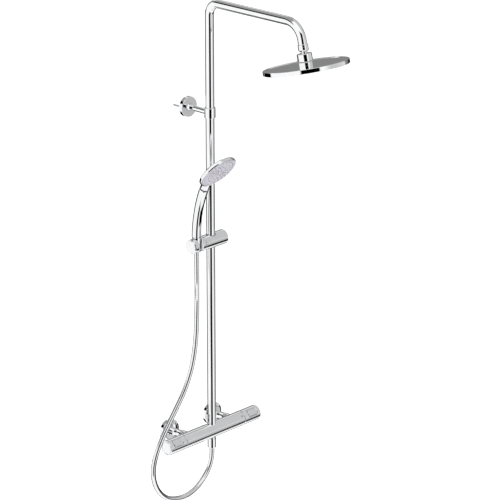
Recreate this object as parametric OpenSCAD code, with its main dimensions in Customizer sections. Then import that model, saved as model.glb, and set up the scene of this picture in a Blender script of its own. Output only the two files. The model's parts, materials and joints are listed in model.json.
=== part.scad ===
// Rainfall shower column: a thermostatic bar mixer, a riser with a swivelling arm and a rain head,
// a slider with a hand shower, and the hose between them. Millimetres, +Z up.
// The wall is the plane y = 0 and the user stands on its -Y side. The origin is on the wall, midway
// between the two water inlets, at the height of the mixer's axis.

/* [Column] */
// Distance from the wall to the axis of the riser and of the mixer
wall_gap = 80; // [76:1:90]
// Height of the straight arm above the mixer's axis
arm_height = 1091; // [1000:1:1200]
// Height of the wall bracket above the mixer's axis
bracket_height = 822; // [780:1:860]
// Outer diameter of the riser and the arm
tube_d = 21; // [20:0.5:22]
// Wall thickness of the riser and the arm
tube_wall = 1.2; // [1:0.1:1.5]
// Distance from the wall at which the arm starts to bend down
arm_reach = 330; // [300:5:380]
// Centreline radius of the bend above the riser
corner_r = 30; // [28:1:40]
// Centreline radius of the bend at the end of the arm
drop_r = 48; // [40:1:60]
// Angle by which the arm bends down at its end
drop_turn = 77; // [70:1:85]

/* [Rain head] */
// Diameter of the rain head
head_d = 200; // [180:5:220]
// Height of the rain head's rim
head_rim = 10; // [9:1:14]
// Diameter of the collar over the ball joint
collar_d = 35; // [34:0.5:40]
// Rings of nozzles in the rain head
head_rings = 5; // [3:1:5]

/* [Mixer] */
// Distance between the two water inlets
inlet_pitch = 150; // [148:1:152]
// Length of the mixer with its two handles
mixer_length = 312; // [310:1:316]
// Diameter of the mixer
mixer_d = 38; // [38:0.5:40]
// Length of the fixed body between the handles
body_length = 202; // [200:1:204]
// Diameter of the rosettes over the inlets
rosette_d = 57; // [54:1:62]

/* [Slider and hand shower] */
// Height of the slider above the mixer's axis
slider_height = 500; // [450:5:560]
// Diameter of the slider
slider_d = 36; // [36:0.5:40]
// Distance from the riser to the axis of the hand shower, along the wall
holder_offset = 48; // [48:1:52]
// Diameter of the spray face
spray_d = 100; // [96:1:106]
// Angle of the spray face from facing straight up
spray_turn = 129; // [124:1:134]
// Rings of nozzles in the hand shower
spray_rings = 4; // [3:1:4]

/* [Hose] */
// Outer diameter of the hose
hose_d = 12; // [10:1:13]

/* [Hidden] */

$fn = 96;

// Colours
chrome = [0.80, 0.81, 0.83];
brass = [0.78, 0.65, 0.36];
steel = [0.66, 0.67, 0.69];
white_plastic = [0.90, 0.90, 0.89];
grey_plastic = [0.55, 0.56, 0.58];
black_rubber = [0.08, 0.08, 0.09];

// Clearances: a running fit, and the gap between pieces that only pass each other
fit = 0.05;
gap = 0.3;

tube_r = tube_d / 2;
tube_bore = tube_r - tube_wall;

// Mixer, measured from its middle along X
mixer_r = mixer_d / 2;
body_half = body_length / 2;
mixer_half = mixer_length / 2;
inlet_x = inlet_pitch / 2;
chamber_r = 14;
chamber_end = 41;
handle_start = body_half + 0.6;
handle_bore = 15.5;
handle_web = mixer_half - 10;
cap_r = 16.5;
cap_depth = 3;
button_x = 130;
button_length = 28;
button_width = 17;
button_lift = 40;
button_inner = 11.5;
button_proud = 0.6;
hub_r = 7;
spindle_r = 4;
riser_foot = 7;

// Inlets, measured from the wall
union_thread_r = 10.48;
union_thread_length = 16;
union_end = 46;
stub_end = 48;
stub_r = 10;
boss_end = wall_gap - 24;
boss_r = 13.5;
rosette_depth = 14;

// Hose outlet under the mixer
nipple_r = 8;
nut_top = -22.2;
nut_foot = -47;

// Wall bracket
bracket_r = 13.25;
bracket_half = 13;
stem_r = 6.5;
plate_screw_x = 14;

// Arm end: the frame in which the rain head hangs has -Z along the end of the arm
drop_tilt = 90 - drop_turn;
drop_straight = 10;
end_swell = 0.12;
drop_y = -arm_reach - drop_r * sin(drop_turn) - drop_straight * sin(drop_tilt);
drop_z = arm_height - drop_r * (1 - cos(drop_turn)) - drop_straight * cos(drop_tilt);
arm_nut_length = 17;
ball_z = -30;
ball_r = 9;
seat_r = 12;
collar_top = -20.5;
collar_foot = -48;
head_top = -46.5;
head_foot = head_top - head_rim;
head_pitch = 18;

// Slider and holder, measured from the riser
slider_r = slider_d / 2;
slider_right = 43;
slider_left = -30;
fork_right = -30.6;
fork_left = -66;
bush_r = 12.4;
cone_foot = -17;
cone_top = 21;

// Hand shower
handle_arc = 310;
handle_turn = 24;
handle_r = 11;
handle_wall = 1.6;
neck_ring = 4;
spray_y = -76.6;
spray_z = 199;
rim_height = 9;
spray_r = spray_d / 2;
spray_pitch = 10;

// Route of the hose from the hand shower to the mixer, chosen by hand: [x, how far before the riser's plane, z]
hose_route = [
    [-48, 0, 483], [-48, 0, 460], [-48.4, 0.4, 430.2], [-56.8, 8.8, 400.3], [-71.6, 23.6, 369.2], [-81, 32, 334.2],
    [-83, 32, 294.2], [-88, 32, 254.2], [-97, 32, 215.2], [-111, 32, 179.2], [-130, 32, 145.2], [-153, 32, 114.2],
    [-177, 32, 83.2], [-199, 32, 53.2], [-215.8, 31.8, 25.1], [-225.3, 30.3, -1.8], [-227.8, 27.8, -29.3],
    [-221, 24, -60.6], [-203.3, 19.3, -92.4], [-174.9, 13.9, -120.7], [-138.6, 8.6, -138.8], [-100.2, 4.2, -146.5],
    [-65.2, 1.2, -142.3], [-36, 0, -127], [-14, 0, -104], [-3, 0, -80], [0, 0, -62], [0, 0, -47]
];
hose_sides = 12;

// ---- helpers ----

module tube(outer, inner, length) {
    difference() {
        cylinder(r = outer, h = length);
        translate([0, 0, -1]) cylinder(r = inner, h = length + 2);
    }
}

// A rod with a chamfer at its foot and at its top
module rod(r, length, foot = 0.6, top = 0.6) {
    rotate_extrude() polygon([
        [0, 0], [r - foot, 0], [r, foot], [r, length - top], [r - top, length], [0, length]
    ]);
}

// Skin of a tube: rings is a list of rings of points, all with the same number of points
module skin(rings) {
    n = len(rings[0]);
    sides = [
        for (i = [0 : len(rings) - 2], k = [0 : n - 1])
            let (m = (k + 1) % n) [i * n + k, i * n + m, (i + 1) * n + m, (i + 1) * n + k]
    ];
    first = [for (k = [n - 1 : -1 : 0]) k];
    last = [for (k = [0 : n - 1]) (len(rings) - 1) * n + k];
    polyhedron([for (ring = rings) each ring], concat([first], sides, [last]));
}

// A coil spring of round wire along +Z
module spring(r, wire, length, turns, steps = 12, corners = 6) {
    skin([
        for (i = [0 : turns * steps])
            let (a = 360 * i / steps, z = wire + (length - 2 * wire) * i / (turns * steps))
            [
                for (k = [0 : corners - 1])
                    let (b = -360 * k / corners, q = r + wire * cos(b))
                    [q * cos(a), q * sin(a), z + wire * sin(b)]
            ]
    ]);
}

// Frame on the mixer's axis with local +Z along +X, starting at x
module along_x(x, y = -wall_gap, z = 0) {
    translate([x, y, z]) rotate([0, 90, 0]) children();
}

// Frame at an inlet with local +Z from the wall towards the user
module at_inlet(side) {
    translate([side * inlet_x, 0, 0]) rotate([90, 0, 0]) children();
}

// Mirrors what is modelled on the right side to the left
module on_side(side) {
    if (side < 0) mirror([1, 0, 0]) children();
    else children();
}

// Frame at the end of the arm
module at_drop() {
    translate([0, drop_y, drop_z]) rotate([-drop_tilt, 0, 0]) children();
}

// Frame of the slider on the riser
module at_slider() {
    translate([0, -wall_gap, slider_height]) children();
}

// Frame on the hand shower's axis at the slider's height
module at_holder() {
    translate([-holder_offset, -wall_gap, slider_height]) children();
}

// Frame of the spray face, with local +Z out of the face
module at_spray() {
    at_holder() translate([0, spray_y, spray_z]) rotate([spray_turn, 0, 0]) children();
}

// Sweeps a flat outline about an axis along X, from the angle start through the angle turn
module arc_about_x(radius, start, turn) {
    rotate([90, 0, 90]) rotate([0, 0, start])
        rotate_extrude(angle = turn) translate([radius, 0]) children();
}

// ---- mixer ----

module mixer_body() {
    color(chrome) difference() {
        union() {
            along_x(-body_half) rod(mixer_r, body_length);
            for (side = [-1, 1]) {
                at_inlet(side) translate([0, 0, boss_end]) cylinder(r = boss_r, h = 24);
                at_inlet(side) translate([0, 0, stub_end]) cylinder(r = stub_r, h = 20);
            }
        }
        // Chambers for the two cartridges, and the passage between them
        for (side = [-1, 1])
            on_side(side) along_x(chamber_end) cylinder(r = chamber_r, h = body_half);
        along_x(-chamber_end - 1) cylinder(r = 5, h = 2 * chamber_end + 2);
        // Inlets
        for (side = [-1, 1])
            at_inlet(side) translate([0, 0, stub_end - 1]) cylinder(r = 7 + fit, h = wall_gap - stub_end);
        // Socket of the riser, passage down to the outlet, and the outlet's thread
        translate([0, -wall_gap, riser_foot - 1]) cylinder(r = tube_r + fit, h = mixer_r);
        translate([0, -wall_gap, -mixer_r]) cylinder(r = 6, h = mixer_r + riser_foot);
        translate([0, -wall_gap, -mixer_r - 1]) cylinder(r = nipple_r + 0.02, h = 12);
    }
}

// Wall union: the male thread that screws into the water outlet in the wall, a hexagon, and a neck
module wall_union(side) {
    color(brass) at_inlet(side) difference() {
        union() {
            translate([0, 0, -union_thread_length]) rod(union_thread_r, union_thread_length, 1.2, 0);
            cylinder(r = 15, h = 7, $fn = 6);
            cylinder(r = 8.4, h = union_end);
            translate([0, 0, union_end - 7]) cylinder(r = 9.3, h = 7);
        }
        translate([0, 0, -union_thread_length - 1]) cylinder(r = 6, h = union_end + union_thread_length + 2);
    }
}

module wall_union_left() wall_union(-1);
module wall_union_right() wall_union(1);

module union_rosette(side) {
    r = rosette_d / 2;
    color(chrome) at_inlet(side) rotate_extrude() polygon([
        [r - 1.5, 0], [r, 0.3], [r, rosette_depth - 4], [r - 1.2, rosette_depth - 1.8],
        [r - 4, rosette_depth - 0.4], [r - 8, rosette_depth], [10.6, rosette_depth],
        [10.6, rosette_depth - 1.5], [r - 8, rosette_depth - 1.5], [r - 3.4, rosette_depth - 3.4],
        [r - 1.5, rosette_depth - 5]
    ]);
}

module union_rosette_left() union_rosette(-1);
module union_rosette_right() union_rosette(1);

// Conical union nut between the rosette and the mixer's inlet boss
module union_nut(side) {
    start = rosette_depth - 0.8;
    color(chrome) at_inlet(side) rotate_extrude() polygon([
        [8.45, start], [10.1, start], [10.3, start + 12], [11, start + 24], [boss_r, boss_end - 4],
        [boss_r, boss_end - gap], [stub_r + fit, boss_end - gap], [stub_r + fit, union_end],
        [9.35, union_end], [9.35, union_end - 7.1], [8.45, union_end - 7.1]
    ]);
}

module union_nut_left() union_nut(-1);
module union_nut_right() union_nut(1);

module sieve_washers() {
    color(black_rubber) for (side = [-1, 1])
        at_inlet(side) translate([0, 0, union_end]) tube(9.3, 5, stub_end - union_end);
}

// Non-return valves: a guide ring with a cone-shaped poppet in each inlet
module check_valves() {
    color(white_plastic) for (side = [-1, 1]) at_inlet(side) translate([0, 0, stub_end + 1])
        rotate_extrude() polygon([
            [0, 4], [3.5, 6], [3.5, 11], [6, 11], [6, 0], [7, 0], [7, 13], [0, 13]
        ]);
}

// The shell of a cartridge with a groove that the water enters by; end is where its chamber stops
module cartridge(chamber, end) {
    along_x(chamber_end + 2) rotate_extrude() difference() {
        polygon([
            [0, 0], [13.95, 0], [13.95, 24], [11.5, 26], [11.5, 42], [13.95, 44], [13.95, 53],
            [9, 53], [9, 61], [0, 61]
        ]);
        translate([-1, 2]) square([chamber + 1, end]);
        translate([-1, end]) square([spindle_r + fit + 1, 70]);
    }
}

module thermostat_cartridge() {
    color(white_plastic) cartridge(8, 36);
}

module flow_cartridge() {
    color(white_plastic) on_side(-1) cartridge(10, 16);
}

module handle_stop_rings() {
    color(grey_plastic) for (side = [-1, 1])
        on_side(side) along_x(body_half - 4.4) tube(13.9, 9.05, 4.2);
}

// Wax element that the spindle pushes in the thermostat
module wax_element() {
    color(brass) along_x(chamber_end + 9) {
        rod(7.9, 16);
        translate([0, 0, 15]) cylinder(r = 2.5, h = 8);
    }
}

// Rounded key that a button or its pocket is cut with: its length runs along X and local +Z out of the handle
module button_key(grow, low, high) {
    translate([button_x, -wall_gap, 0]) rotate([90 - button_lift, 0, 0]) translate([0, 0, low])
        linear_extrude(height = high - low) {
            square([button_length - 5 + 2 * grow, button_width + 2 * grow], center = true);
            square([button_length + 2 * grow, button_width - 5 + 2 * grow], center = true);
            for (i = [-1, 1], j = [-1, 1])
                translate([i * (button_length / 2 - 2.5), j * (button_width / 2 - 2.5)])
                    circle(r = 2.5 + grow, $fn = 32);
        }
}

module handle_shell(side) {
    on_side(side) difference() {
        along_x(handle_start) rod(mixer_r, mixer_half - handle_start, 0.5, 1);
        along_x(handle_start - 1) tube(handle_bore, hub_r, handle_web - handle_start + 1);
        along_x(handle_start - 1) cylinder(r = hub_r + 1, h = 17);
        along_x(handle_start) cylinder(r = spindle_r + 0.02, h = 28);
        along_x(mixer_half - cap_depth) cylinder(r = cap_r, h = cap_depth + 1);
        button_key(gap, button_inner, mixer_r + 2);
    }
}

module temperature_handle() {
    color(chrome) handle_shell(1);
}

module flow_handle() {
    color(chrome) handle_shell(-1);
}

module end_cap(side) {
    on_side(side) along_x(mixer_half - cap_depth + 0.1) rod(cap_r - 0.1, cap_depth, 0.2, 0.6);
}

module temperature_end_cap() {
    color(chrome) end_cap(1);
}

module flow_end_cap() {
    color(chrome) end_cap(-1);
}

module temperature_spindle() {
    color(brass) along_x(80.5) cylinder(r = spindle_r, h = 48);
}

module flow_spindle() {
    color(brass) on_side(-1) {
        along_x(chamber_end + 14) cylinder(r = spindle_r, h = 73);
        along_x(chamber_end + 12.4) cylinder(r = 9, h = 5.5);
    }
}

// The two ceramic discs that share the water out: the outer one turns with the spindle
module fixed_disc() {
    color("white") on_side(-1) along_x(chamber_end + 4.2) tube(9.8, 3, 4);
}

module turning_disc() {
    color("white") on_side(-1) along_x(chamber_end + 8.3) tube(9.8, 3, 4);
}

module handle_button(side) {
    on_side(side) intersection() {
        along_x(button_x - button_length) cylinder(r = mixer_r + button_proud, h = 2 * button_length);
        button_key(0, button_inner, mixer_r + 2);
    }
}

module temperature_button() {
    color(chrome) handle_button(1);
}

module eco_button() {
    color(chrome) handle_button(-1);
}

module button_spring(side) {
    on_side(side) translate([button_x, -wall_gap, 0]) rotate([90 - button_lift, 0, 0])
        translate([0, 0, hub_r + 0.2]) spring(3, 0.4, button_inner - hub_r - 0.4, 3);
}

module temperature_button_spring() {
    color(steel) button_spring(1);
}

module eco_button_spring() {
    color(steel) button_spring(-1);
}

module outlet_nipple() {
    color(brass) translate([0, -wall_gap, 0]) difference() {
        union() {
            translate([0, 0, -31]) cylinder(r = nipple_r, h = 22);
            translate([0, 0, -22]) cylinder(r = 10, h = 2.8);
        }
        translate([0, 0, -32]) cylinder(r = 5, h = 30);
    }
}

module hose_nut_lower() {
    color(chrome) translate([0, -wall_gap, nut_foot]) difference() {
        rod(10.6, nut_top - nut_foot, 1, 0.6);
        translate([0, 0, nut_top - nut_foot - 9.5]) cylinder(r = nipple_r + fit, h = 20);
        translate([0, 0, 3]) cylinder(r = 4.5, h = 20);
    }
}

// ---- hose ----

function hose_at(i) = [hose_route[i][0], -wall_gap - hose_route[i][1], hose_route[i][2]];

function hose_along(i) =
    let (d = hose_at(min(i + 1, len(hose_route) - 1)) - hose_at(max(i - 1, 0)))
    d / norm(d);

// The direction along the hose at a route point; the two ends are straight up and down
function hose_dir(i) = i == 0 || i == len(hose_route) - 1 ? [0, 0, i == 0 ? -1 : 1] : hose_along(i);

function hose_ring(i) =
    let (d = hose_dir(i), side = [-d[2], 0, d[0]], u = side / norm(side), v = cross(u, d), p = hose_at(i))
    [
        for (k = [0 : hose_sides - 1])
            let (a = 360 * k / hose_sides)
            p + hose_d / 2 * (cos(a) * u + sin(a) * v)
    ];

module hose() {
    color(steel) skin([for (i = [0 : len(hose_route) - 1]) hose_ring(i)]);
}

// ---- riser, bracket and arm ----

module lower_riser() {
    color(chrome) translate([0, -wall_gap, riser_foot])
        tube(tube_r, tube_bore, bracket_height - 0.5 - riser_foot);
}

module riser_joint_sleeve() {
    color(white_plastic) translate([0, -wall_gap, bracket_height]) difference() {
        union() {
            translate([0, 0, -28]) cylinder(r = tube_bore - fit, h = 56);
            translate([0, 0, -0.4]) cylinder(r = tube_r - 0.2, h = 0.8);
        }
        translate([0, 0, -29]) cylinder(r = tube_bore - 1.6, h = 58);
    }
}

module tube_section() {
    difference() {
        circle(r = tube_r);
        circle(r = tube_bore);
    }
}

module upper_riser_arm() {
    foot = bracket_height + 0.5;
    color(chrome) {
        translate([0, -wall_gap, foot]) tube(tube_r, tube_bore, arm_height - corner_r - foot);
        translate([0, -wall_gap - corner_r, arm_height - corner_r]) arc_about_x(corner_r, 0, 90) tube_section();
        translate([0, -wall_gap - corner_r, arm_height]) rotate([90, 0, 0])
            tube(tube_r, tube_bore, arm_reach - wall_gap - corner_r);
        translate([0, -arm_reach, arm_height - drop_r]) arc_about_x(drop_r, 90, drop_turn) tube_section();
        // The end of the tube is sized a touch thicker, and reaches a little way up the bend
        at_drop() translate([0, 0, -12])
            tube(tube_r + end_swell, tube_bore - end_swell, 14 + drop_straight);
    }
}

module wall_bracket() {
    color(chrome) translate([0, -wall_gap, bracket_height]) difference() {
        union() {
            translate([0, 0, -bracket_half]) rod(bracket_r, 2 * bracket_half, 1.6, 1.6);
            rotate([-90, 0, 0]) cylinder(r = stem_r, h = wall_gap - 8);
            translate([0, wall_gap - 16, 0]) rotate([-90, 0, 0]) cylinder(r1 = stem_r, r2 = 8.9, h = 6);
        }
        translate([0, 0, -bracket_half - 1]) cylinder(r = tube_r + fit, h = 2 * bracket_half + 2);
        translate([0, wall_gap - 32, 0]) rotate([-90, 0, 0]) cylinder(r = 4 + fit, h = 30);
    }
}

module bracket_rosette() {
    color(chrome) translate([0, 0, bracket_height]) rotate([90, 0, 0]) rotate_extrude() polygon([
        [23.5, 0], [25, 0.3], [25, 9], [24, 10.4], [23, 11], [9.1, 11], [9.1, 9.5], [23, 9.5], [23.5, 8.8]
    ]);
}

module wall_plate() {
    color(steel) translate([0, 0, bracket_height]) rotate([90, 0, 0]) difference() {
        union() {
            rod(21, 4, 0, 0.5);
            cylinder(r = 4, h = 30);
        }
        for (side = [-1, 1]) translate([side * plate_screw_x, 0, -1]) {
            cylinder(r = 2.6, h = 6);
            translate([0, 0, 3]) cylinder(r1 = 2.6, r2 = 5, h = 2.4);
        }
    }
}

module wall_screws() {
    color(steel) for (side = [-1, 1]) translate([side * plate_screw_x, 0, bracket_height])
        rotate([90, 0, 0]) difference() {
            union() {
                translate([0, 0, -34]) cylinder(r1 = 1.2, r2 = 2.4, h = 6);
                translate([0, 0, -28]) cylinder(r = 2.4, h = 28);
                translate([0, 0, 0]) cylinder(r = 2.2, h = 3.5);
                translate([0, 0, 2.2]) cylinder(r1 = 2.2, r2 = 4.4, h = 2);
                translate([0, 0, 4.2]) cylinder(r = 4.4, h = 0.6);
            }
            translate([0, 0, 3.2]) linear_extrude(height = 2) {
                square([5, 1], center = true);
                square([1, 5], center = true);
            }
        }
}

// ---- rain head ----

module arm_nut() {
    color(chrome) at_drop() translate([0, 0, -arm_nut_length]) difference() {
        rotate_extrude() polygon([
            [0, 0], [9, 0], [11, 2], [12, 4.5], [12, arm_nut_length - 0.8], [11.4, arm_nut_length],
            [0, arm_nut_length]
        ]);
        translate([0, 0, 4.9]) cylinder(r = tube_r + end_swell + 0.02, h = 20);
        translate([0, 0, -1]) cylinder(r = 6.9 + 0.02, h = 20);
    }
}

module swivel_ball() {
    color(chrome) at_drop() difference() {
        union() {
            translate([0, 0, ball_z]) sphere(r = ball_r);
            translate([0, 0, ball_z]) cylinder(r = 6.9, h = -12.2 - ball_z);
        }
        translate([0, 0, ball_z - 12]) cylinder(r = 4, h = 40);
    }
}

module ball_seat() {
    color(white_plastic) at_drop() translate([0, 0, ball_z]) difference() {
        intersection() {
            sphere(r = seat_r - fit);
            translate([0, 0, -6]) cylinder(r = 15, h = 11);
        }
        sphere(r = ball_r + fit);
    }
}

module head_collar() {
    r = collar_d / 2;
    color(chrome) at_drop() difference() {
        translate([0, 0, collar_foot]) rod(r, collar_top - collar_foot, 0, 2);
        translate([0, 0, ball_z]) sphere(r = seat_r);
        translate([0, 0, collar_top - 6]) cylinder(r = 9.6, h = 10);
        translate([0, 0, collar_foot - 1]) cylinder(r = 11.02, h = 6);
        translate([0, 0, collar_foot - 1]) cylinder(r = 8, h = 12);
    }
}

module head_shell() {
    r = head_d / 2;
    color(chrome) at_drop() difference() {
        union() {
            rotate_extrude() polygon([
                [0, head_top - 1.5], [r - 4, head_top - 1.5], [r - 3, head_top], [r - 1, head_top],
                [r, head_top - 1], [r, head_foot + 0.8], [r - 0.8, head_foot], [r - 2.4, head_foot],
                [r - 2.4, head_top - 3.5], [0, head_top - 3.5]
            ]);
            translate([0, 0, head_top - 2]) cylinder(r = 11, h = 5.4);
        }
        translate([0, 0, head_top - 10]) cylinder(r = 7, h = 20);
    }
}

// Points of the nozzle rings: ring n has six times n nozzles
function ring_points(n, pitch) = [
    for (k = [0 : 6 * n - 1]) let (a = 60 * k / n + 7 * n) [n * pitch * cos(a), n * pitch * sin(a)]
];

module nozzle_places(rings, pitch) {
    for (n = [1 : rings], p = ring_points(n, pitch)) translate(p) children();
}

module head_spray_plate() {
    color(grey_plastic) at_drop() translate([0, 0, head_foot]) linear_extrude(height = 1.6) difference() {
        circle(r = head_d / 2 - 2.7);
        nozzle_places(head_rings, head_pitch) circle(r = 1.9, $fn = 24);
    }
}

module head_nozzle_mat() {
    color(white_plastic) at_drop() {
        translate([0, 0, head_foot + 1.7]) cylinder(r = head_d / 2 - 8, h = 1.2);
        nozzle_places(head_rings, head_pitch)
            translate([0, 0, head_foot - 1.8]) cylinder(r1 = 1.1, r2 = 1.7, h = 4, $fn = 24);
    }
}

module head_gasket() {
    color(black_rubber) at_drop() translate([0, 0, head_foot + 1.8]) tube(head_d / 2 - 3, head_d / 2 - 7, 1.8);
}

// ---- slider ----

module slider_bush() {
    color(grey_plastic) at_slider() translate([0, 0, -15.5]) tube(bush_r, tube_r + fit, 31);
}

module slider_body() {
    color(chrome) at_slider() difference() {
        along_x(slider_left, 0) rod(slider_r, slider_right - slider_left, 0.4, 1);
        translate([0, 0, -25]) cylinder(r = bush_r + fit, h = 50);
        along_x(34.5, 0) cylinder(r = 15.3, h = 20);
        along_x(26, 0) cylinder(r = 7.6, h = 10);
        along_x(18, 0) cylinder(r = spindle_r + fit, h = 10);
        along_x(slider_left - 1, 0) cylinder(r = 5.02, h = 14);
    }
}

module slider_button() {
    color(chrome) at_slider() {
        along_x(38.5, 0) rotate_extrude() polygon([
            [0, 0], [15, 0], [15, 4.6], [14, 5.8], [11, 7], [6, 7.8], [0, 8]
        ]);
        along_x(22, 0) cylinder(r = spindle_r, h = 17);
    }
}

module slider_button_spring() {
    color(steel) at_slider() along_x(26.2, 0) spring(6, 0.6, 12, 5);
}

module holder_pin() {
    color(steel) at_slider() along_x(-35, 0) cylinder(r = 5, h = 17);
}

// Radius of the conical nut at a height above the slider's axis
function cone_r(z) = 8.6 + 2.4 * (z - cone_foot) / (cone_top - cone_foot);

module holder_fork() {
    over = slider_r + 1;
    color(chrome) difference() {
        at_slider() along_x(fork_left, 0) rod(slider_r, fork_right - fork_left, 0.6, 0.4);
        at_holder() translate([0, 0, -over]) cylinder(r1 = cone_r(-over) + 0.1, r2 = cone_r(over) + 0.1, h = 2 * over);
        at_holder() translate([-7.2, -30, -over]) cube([14.4, 30, 2 * over]);
        at_slider() along_x(-35.1, 0) cylinder(r = 5 + fit, h = 10);
    }
}

module holder_end_cap() {
    color(chrome) at_slider() along_x(fork_left - 3, 0) rod(16.5, 3, 1, 0);
}

module hose_nut_upper() {
    color(chrome) at_holder() difference() {
        translate([0, 0, cone_foot]) rotate_extrude() polygon([
            [0, 0], [7.8, 0], [8.65, 0.8], [cone_r(cone_top), cone_top - cone_foot], [0, cone_top - cone_foot]
        ]);
        translate([0, 0, 5]) cylinder(r = nipple_r + fit, h = 30);
        translate([0, 0, cone_foot + 3]) cylinder(r = 4.5, h = 30);
    }
}

// ---- hand shower ----

// Places its children at the top of the handle, with local +Z along the handle's axis
module at_handle_top() {
    at_holder() translate([
        0, handle_arc * (cos(handle_turn) - 1), cone_top + 0.3 + handle_arc * sin(handle_turn)
    ]) rotate([handle_turn, 0, 0]) children();
}

module handle_sweep(outer, inner) {
    at_holder() translate([0, -handle_arc, cone_top + 0.3]) arc_about_x(handle_arc, 0, handle_turn)
        difference() {
            circle(r = outer);
            circle(r = inner);
        }
}

module handset_handle() {
    color(chrome) {
        handle_sweep(handle_r, handle_r - handle_wall);
        at_holder() translate([0, 0, 6.6]) tube(nipple_r, 5, cone_top - 6.2);
        at_holder() translate([0, 0, cone_top + 0.3]) tube(handle_r - handle_wall / 2, 5, 2);
    }
}

module handset_water_tube() {
    color(white_plastic) at_holder() translate([0, -handle_arc, cone_top + 3])
        arc_about_x(handle_arc, 0, handle_turn - 1) difference() {
            circle(r = 6);
            circle(r = 4.8);
        }
}

module handset_neck_ring() {
    color(black_rubber) at_handle_top() tube(handle_r - 0.4, 6.5, neck_ring);
}

module handset_head_shell() {
    color(chrome) difference() {
        union() {
            hull() {
                at_handle_top() translate([0, 0, neck_ring]) cylinder(r = handle_r - 0.4, h = 1, $fn = 32);
                at_spray() translate([0, -22, -rim_height - 4]) cylinder(r = 16, h = 3, $fn = 32);
            }
            at_spray() rotate_extrude() polygon([
                [0, -18], [16, -17], [30, -14.6], [42, -11.5], [spray_r - 2, -rim_height],
                [spray_r - 4, -rim_height], [0, -rim_height]
            ]);
        }
        at_spray() rotate_extrude() polygon([
            [0, -16.2], [16, -15.2], [30, -12.8], [40, -10.4], [44, -rim_height + 1], [0, -rim_height + 1]
        ]);
        at_spray() translate([0, 0, -rim_height]) cylinder(r = spray_r + 0.15, h = 40);
    }
}

module handset_rim() {
    color(chrome) at_spray() rotate_extrude() polygon([
        [spray_r - 3, -rim_height + gap], [spray_r - 1.5, -rim_height + gap], [spray_r, -rim_height + 2],
        [spray_r, -1], [spray_r - 1, 0], [spray_r - 3, 0]
    ]);
}

module handset_face_stud() {
    color(steel) at_spray() {
        translate([0, 0, -15.9]) cylinder(r = 3, h = 15.7);
        translate([0, 0, -0.2]) rod(5, 1.4, 0, 0.4);
    }
}

module handset_spray_face() {
    color(white_plastic) at_spray() difference() {
        translate([0, 0, -6]) rod(spray_r - 3.4, 5.5, 0, 0.8);
        translate([0, 0, -7]) cylinder(r = 3 + fit, h = 10);
        translate([0, 0, -7]) tube(spray_r - 6, 8, 3.4);
        translate([0, 0, -7]) nozzle_places(spray_rings, spray_pitch) cylinder(r = 1.6, h = 10, $fn = 24);
    }
}

module handset_nozzle_mat() {
    color(grey_plastic) at_spray() {
        translate([0, 0, -5.8]) tube(spray_r - 6.4, 8.4, 2);
        nozzle_places(spray_rings, spray_pitch)
            translate([0, 0, -4.5]) cylinder(r1 = 1.45, r2 = 0.9, h = 5.6, $fn = 24);
    }
}

mixer_body();
wall_union_left();
wall_union_right();
union_rosette_left();
union_rosette_right();
union_nut_left();
union_nut_right();
sieve_washers();
check_valves();
thermostat_cartridge();
flow_cartridge();
handle_stop_rings();
wax_element();
temperature_handle();
temperature_spindle();
temperature_end_cap();
temperature_button();
temperature_button_spring();
flow_handle();
flow_spindle();
flow_end_cap();
fixed_disc();
turning_disc();
eco_button();
eco_button_spring();
outlet_nipple();
hose_nut_lower();
hose();
lower_riser();
wall_bracket();
bracket_rosette();
wall_plate();
wall_screws();
riser_joint_sleeve();
upper_riser_arm();
arm_nut();
swivel_ball();
ball_seat();
head_collar();
head_shell();
head_spray_plate();
head_nozzle_mat();
head_gasket();
slider_bush();
slider_body();
slider_button();
slider_button_spring();
holder_pin();
holder_fork();
holder_end_cap();
hose_nut_upper();
handset_handle();
handset_water_tube();
handset_neck_ring();
handset_head_shell();
handset_rim();
handset_face_stud();
handset_spray_face();
handset_nozzle_mat();
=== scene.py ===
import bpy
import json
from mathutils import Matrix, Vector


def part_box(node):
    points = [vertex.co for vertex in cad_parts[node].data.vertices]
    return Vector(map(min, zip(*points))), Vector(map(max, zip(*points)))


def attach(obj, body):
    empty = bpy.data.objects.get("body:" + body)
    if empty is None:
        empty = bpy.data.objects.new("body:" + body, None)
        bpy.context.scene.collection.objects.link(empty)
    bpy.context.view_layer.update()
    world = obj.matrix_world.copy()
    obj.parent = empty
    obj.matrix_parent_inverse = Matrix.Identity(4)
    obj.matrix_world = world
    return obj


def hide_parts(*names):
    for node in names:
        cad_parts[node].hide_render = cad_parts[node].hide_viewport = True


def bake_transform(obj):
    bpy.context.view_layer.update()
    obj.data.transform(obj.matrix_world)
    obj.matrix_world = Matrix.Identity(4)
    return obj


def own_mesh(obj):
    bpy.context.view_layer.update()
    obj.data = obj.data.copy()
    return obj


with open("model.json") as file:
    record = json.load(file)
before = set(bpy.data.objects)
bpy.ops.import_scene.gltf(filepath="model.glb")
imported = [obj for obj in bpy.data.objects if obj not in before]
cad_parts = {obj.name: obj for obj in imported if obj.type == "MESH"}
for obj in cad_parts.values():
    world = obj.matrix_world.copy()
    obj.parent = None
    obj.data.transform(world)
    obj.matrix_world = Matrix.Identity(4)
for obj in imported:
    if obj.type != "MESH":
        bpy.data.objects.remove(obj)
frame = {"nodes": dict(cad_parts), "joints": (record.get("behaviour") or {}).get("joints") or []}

"""Looks of a rainfall shower column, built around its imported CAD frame.

Lengths here are in millimetres in the frame of the CAD, and become metres where a mesh is made. The wall
is the plane y = 0, the user stands on its -Y side, and the origin is midway between the two water inlets.
"""

import json
import logging
import math
from dataclasses import dataclass, field
from enum import Enum

import bpy
import numpy as np
from mathutils import Matrix, Vector

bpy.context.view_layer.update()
MM = 0.001
Colour = tuple[float, float, float]
Corner = tuple[float, ...]
log = logging.getLogger("shower_column")


# ---- the CAD's places ----


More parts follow.
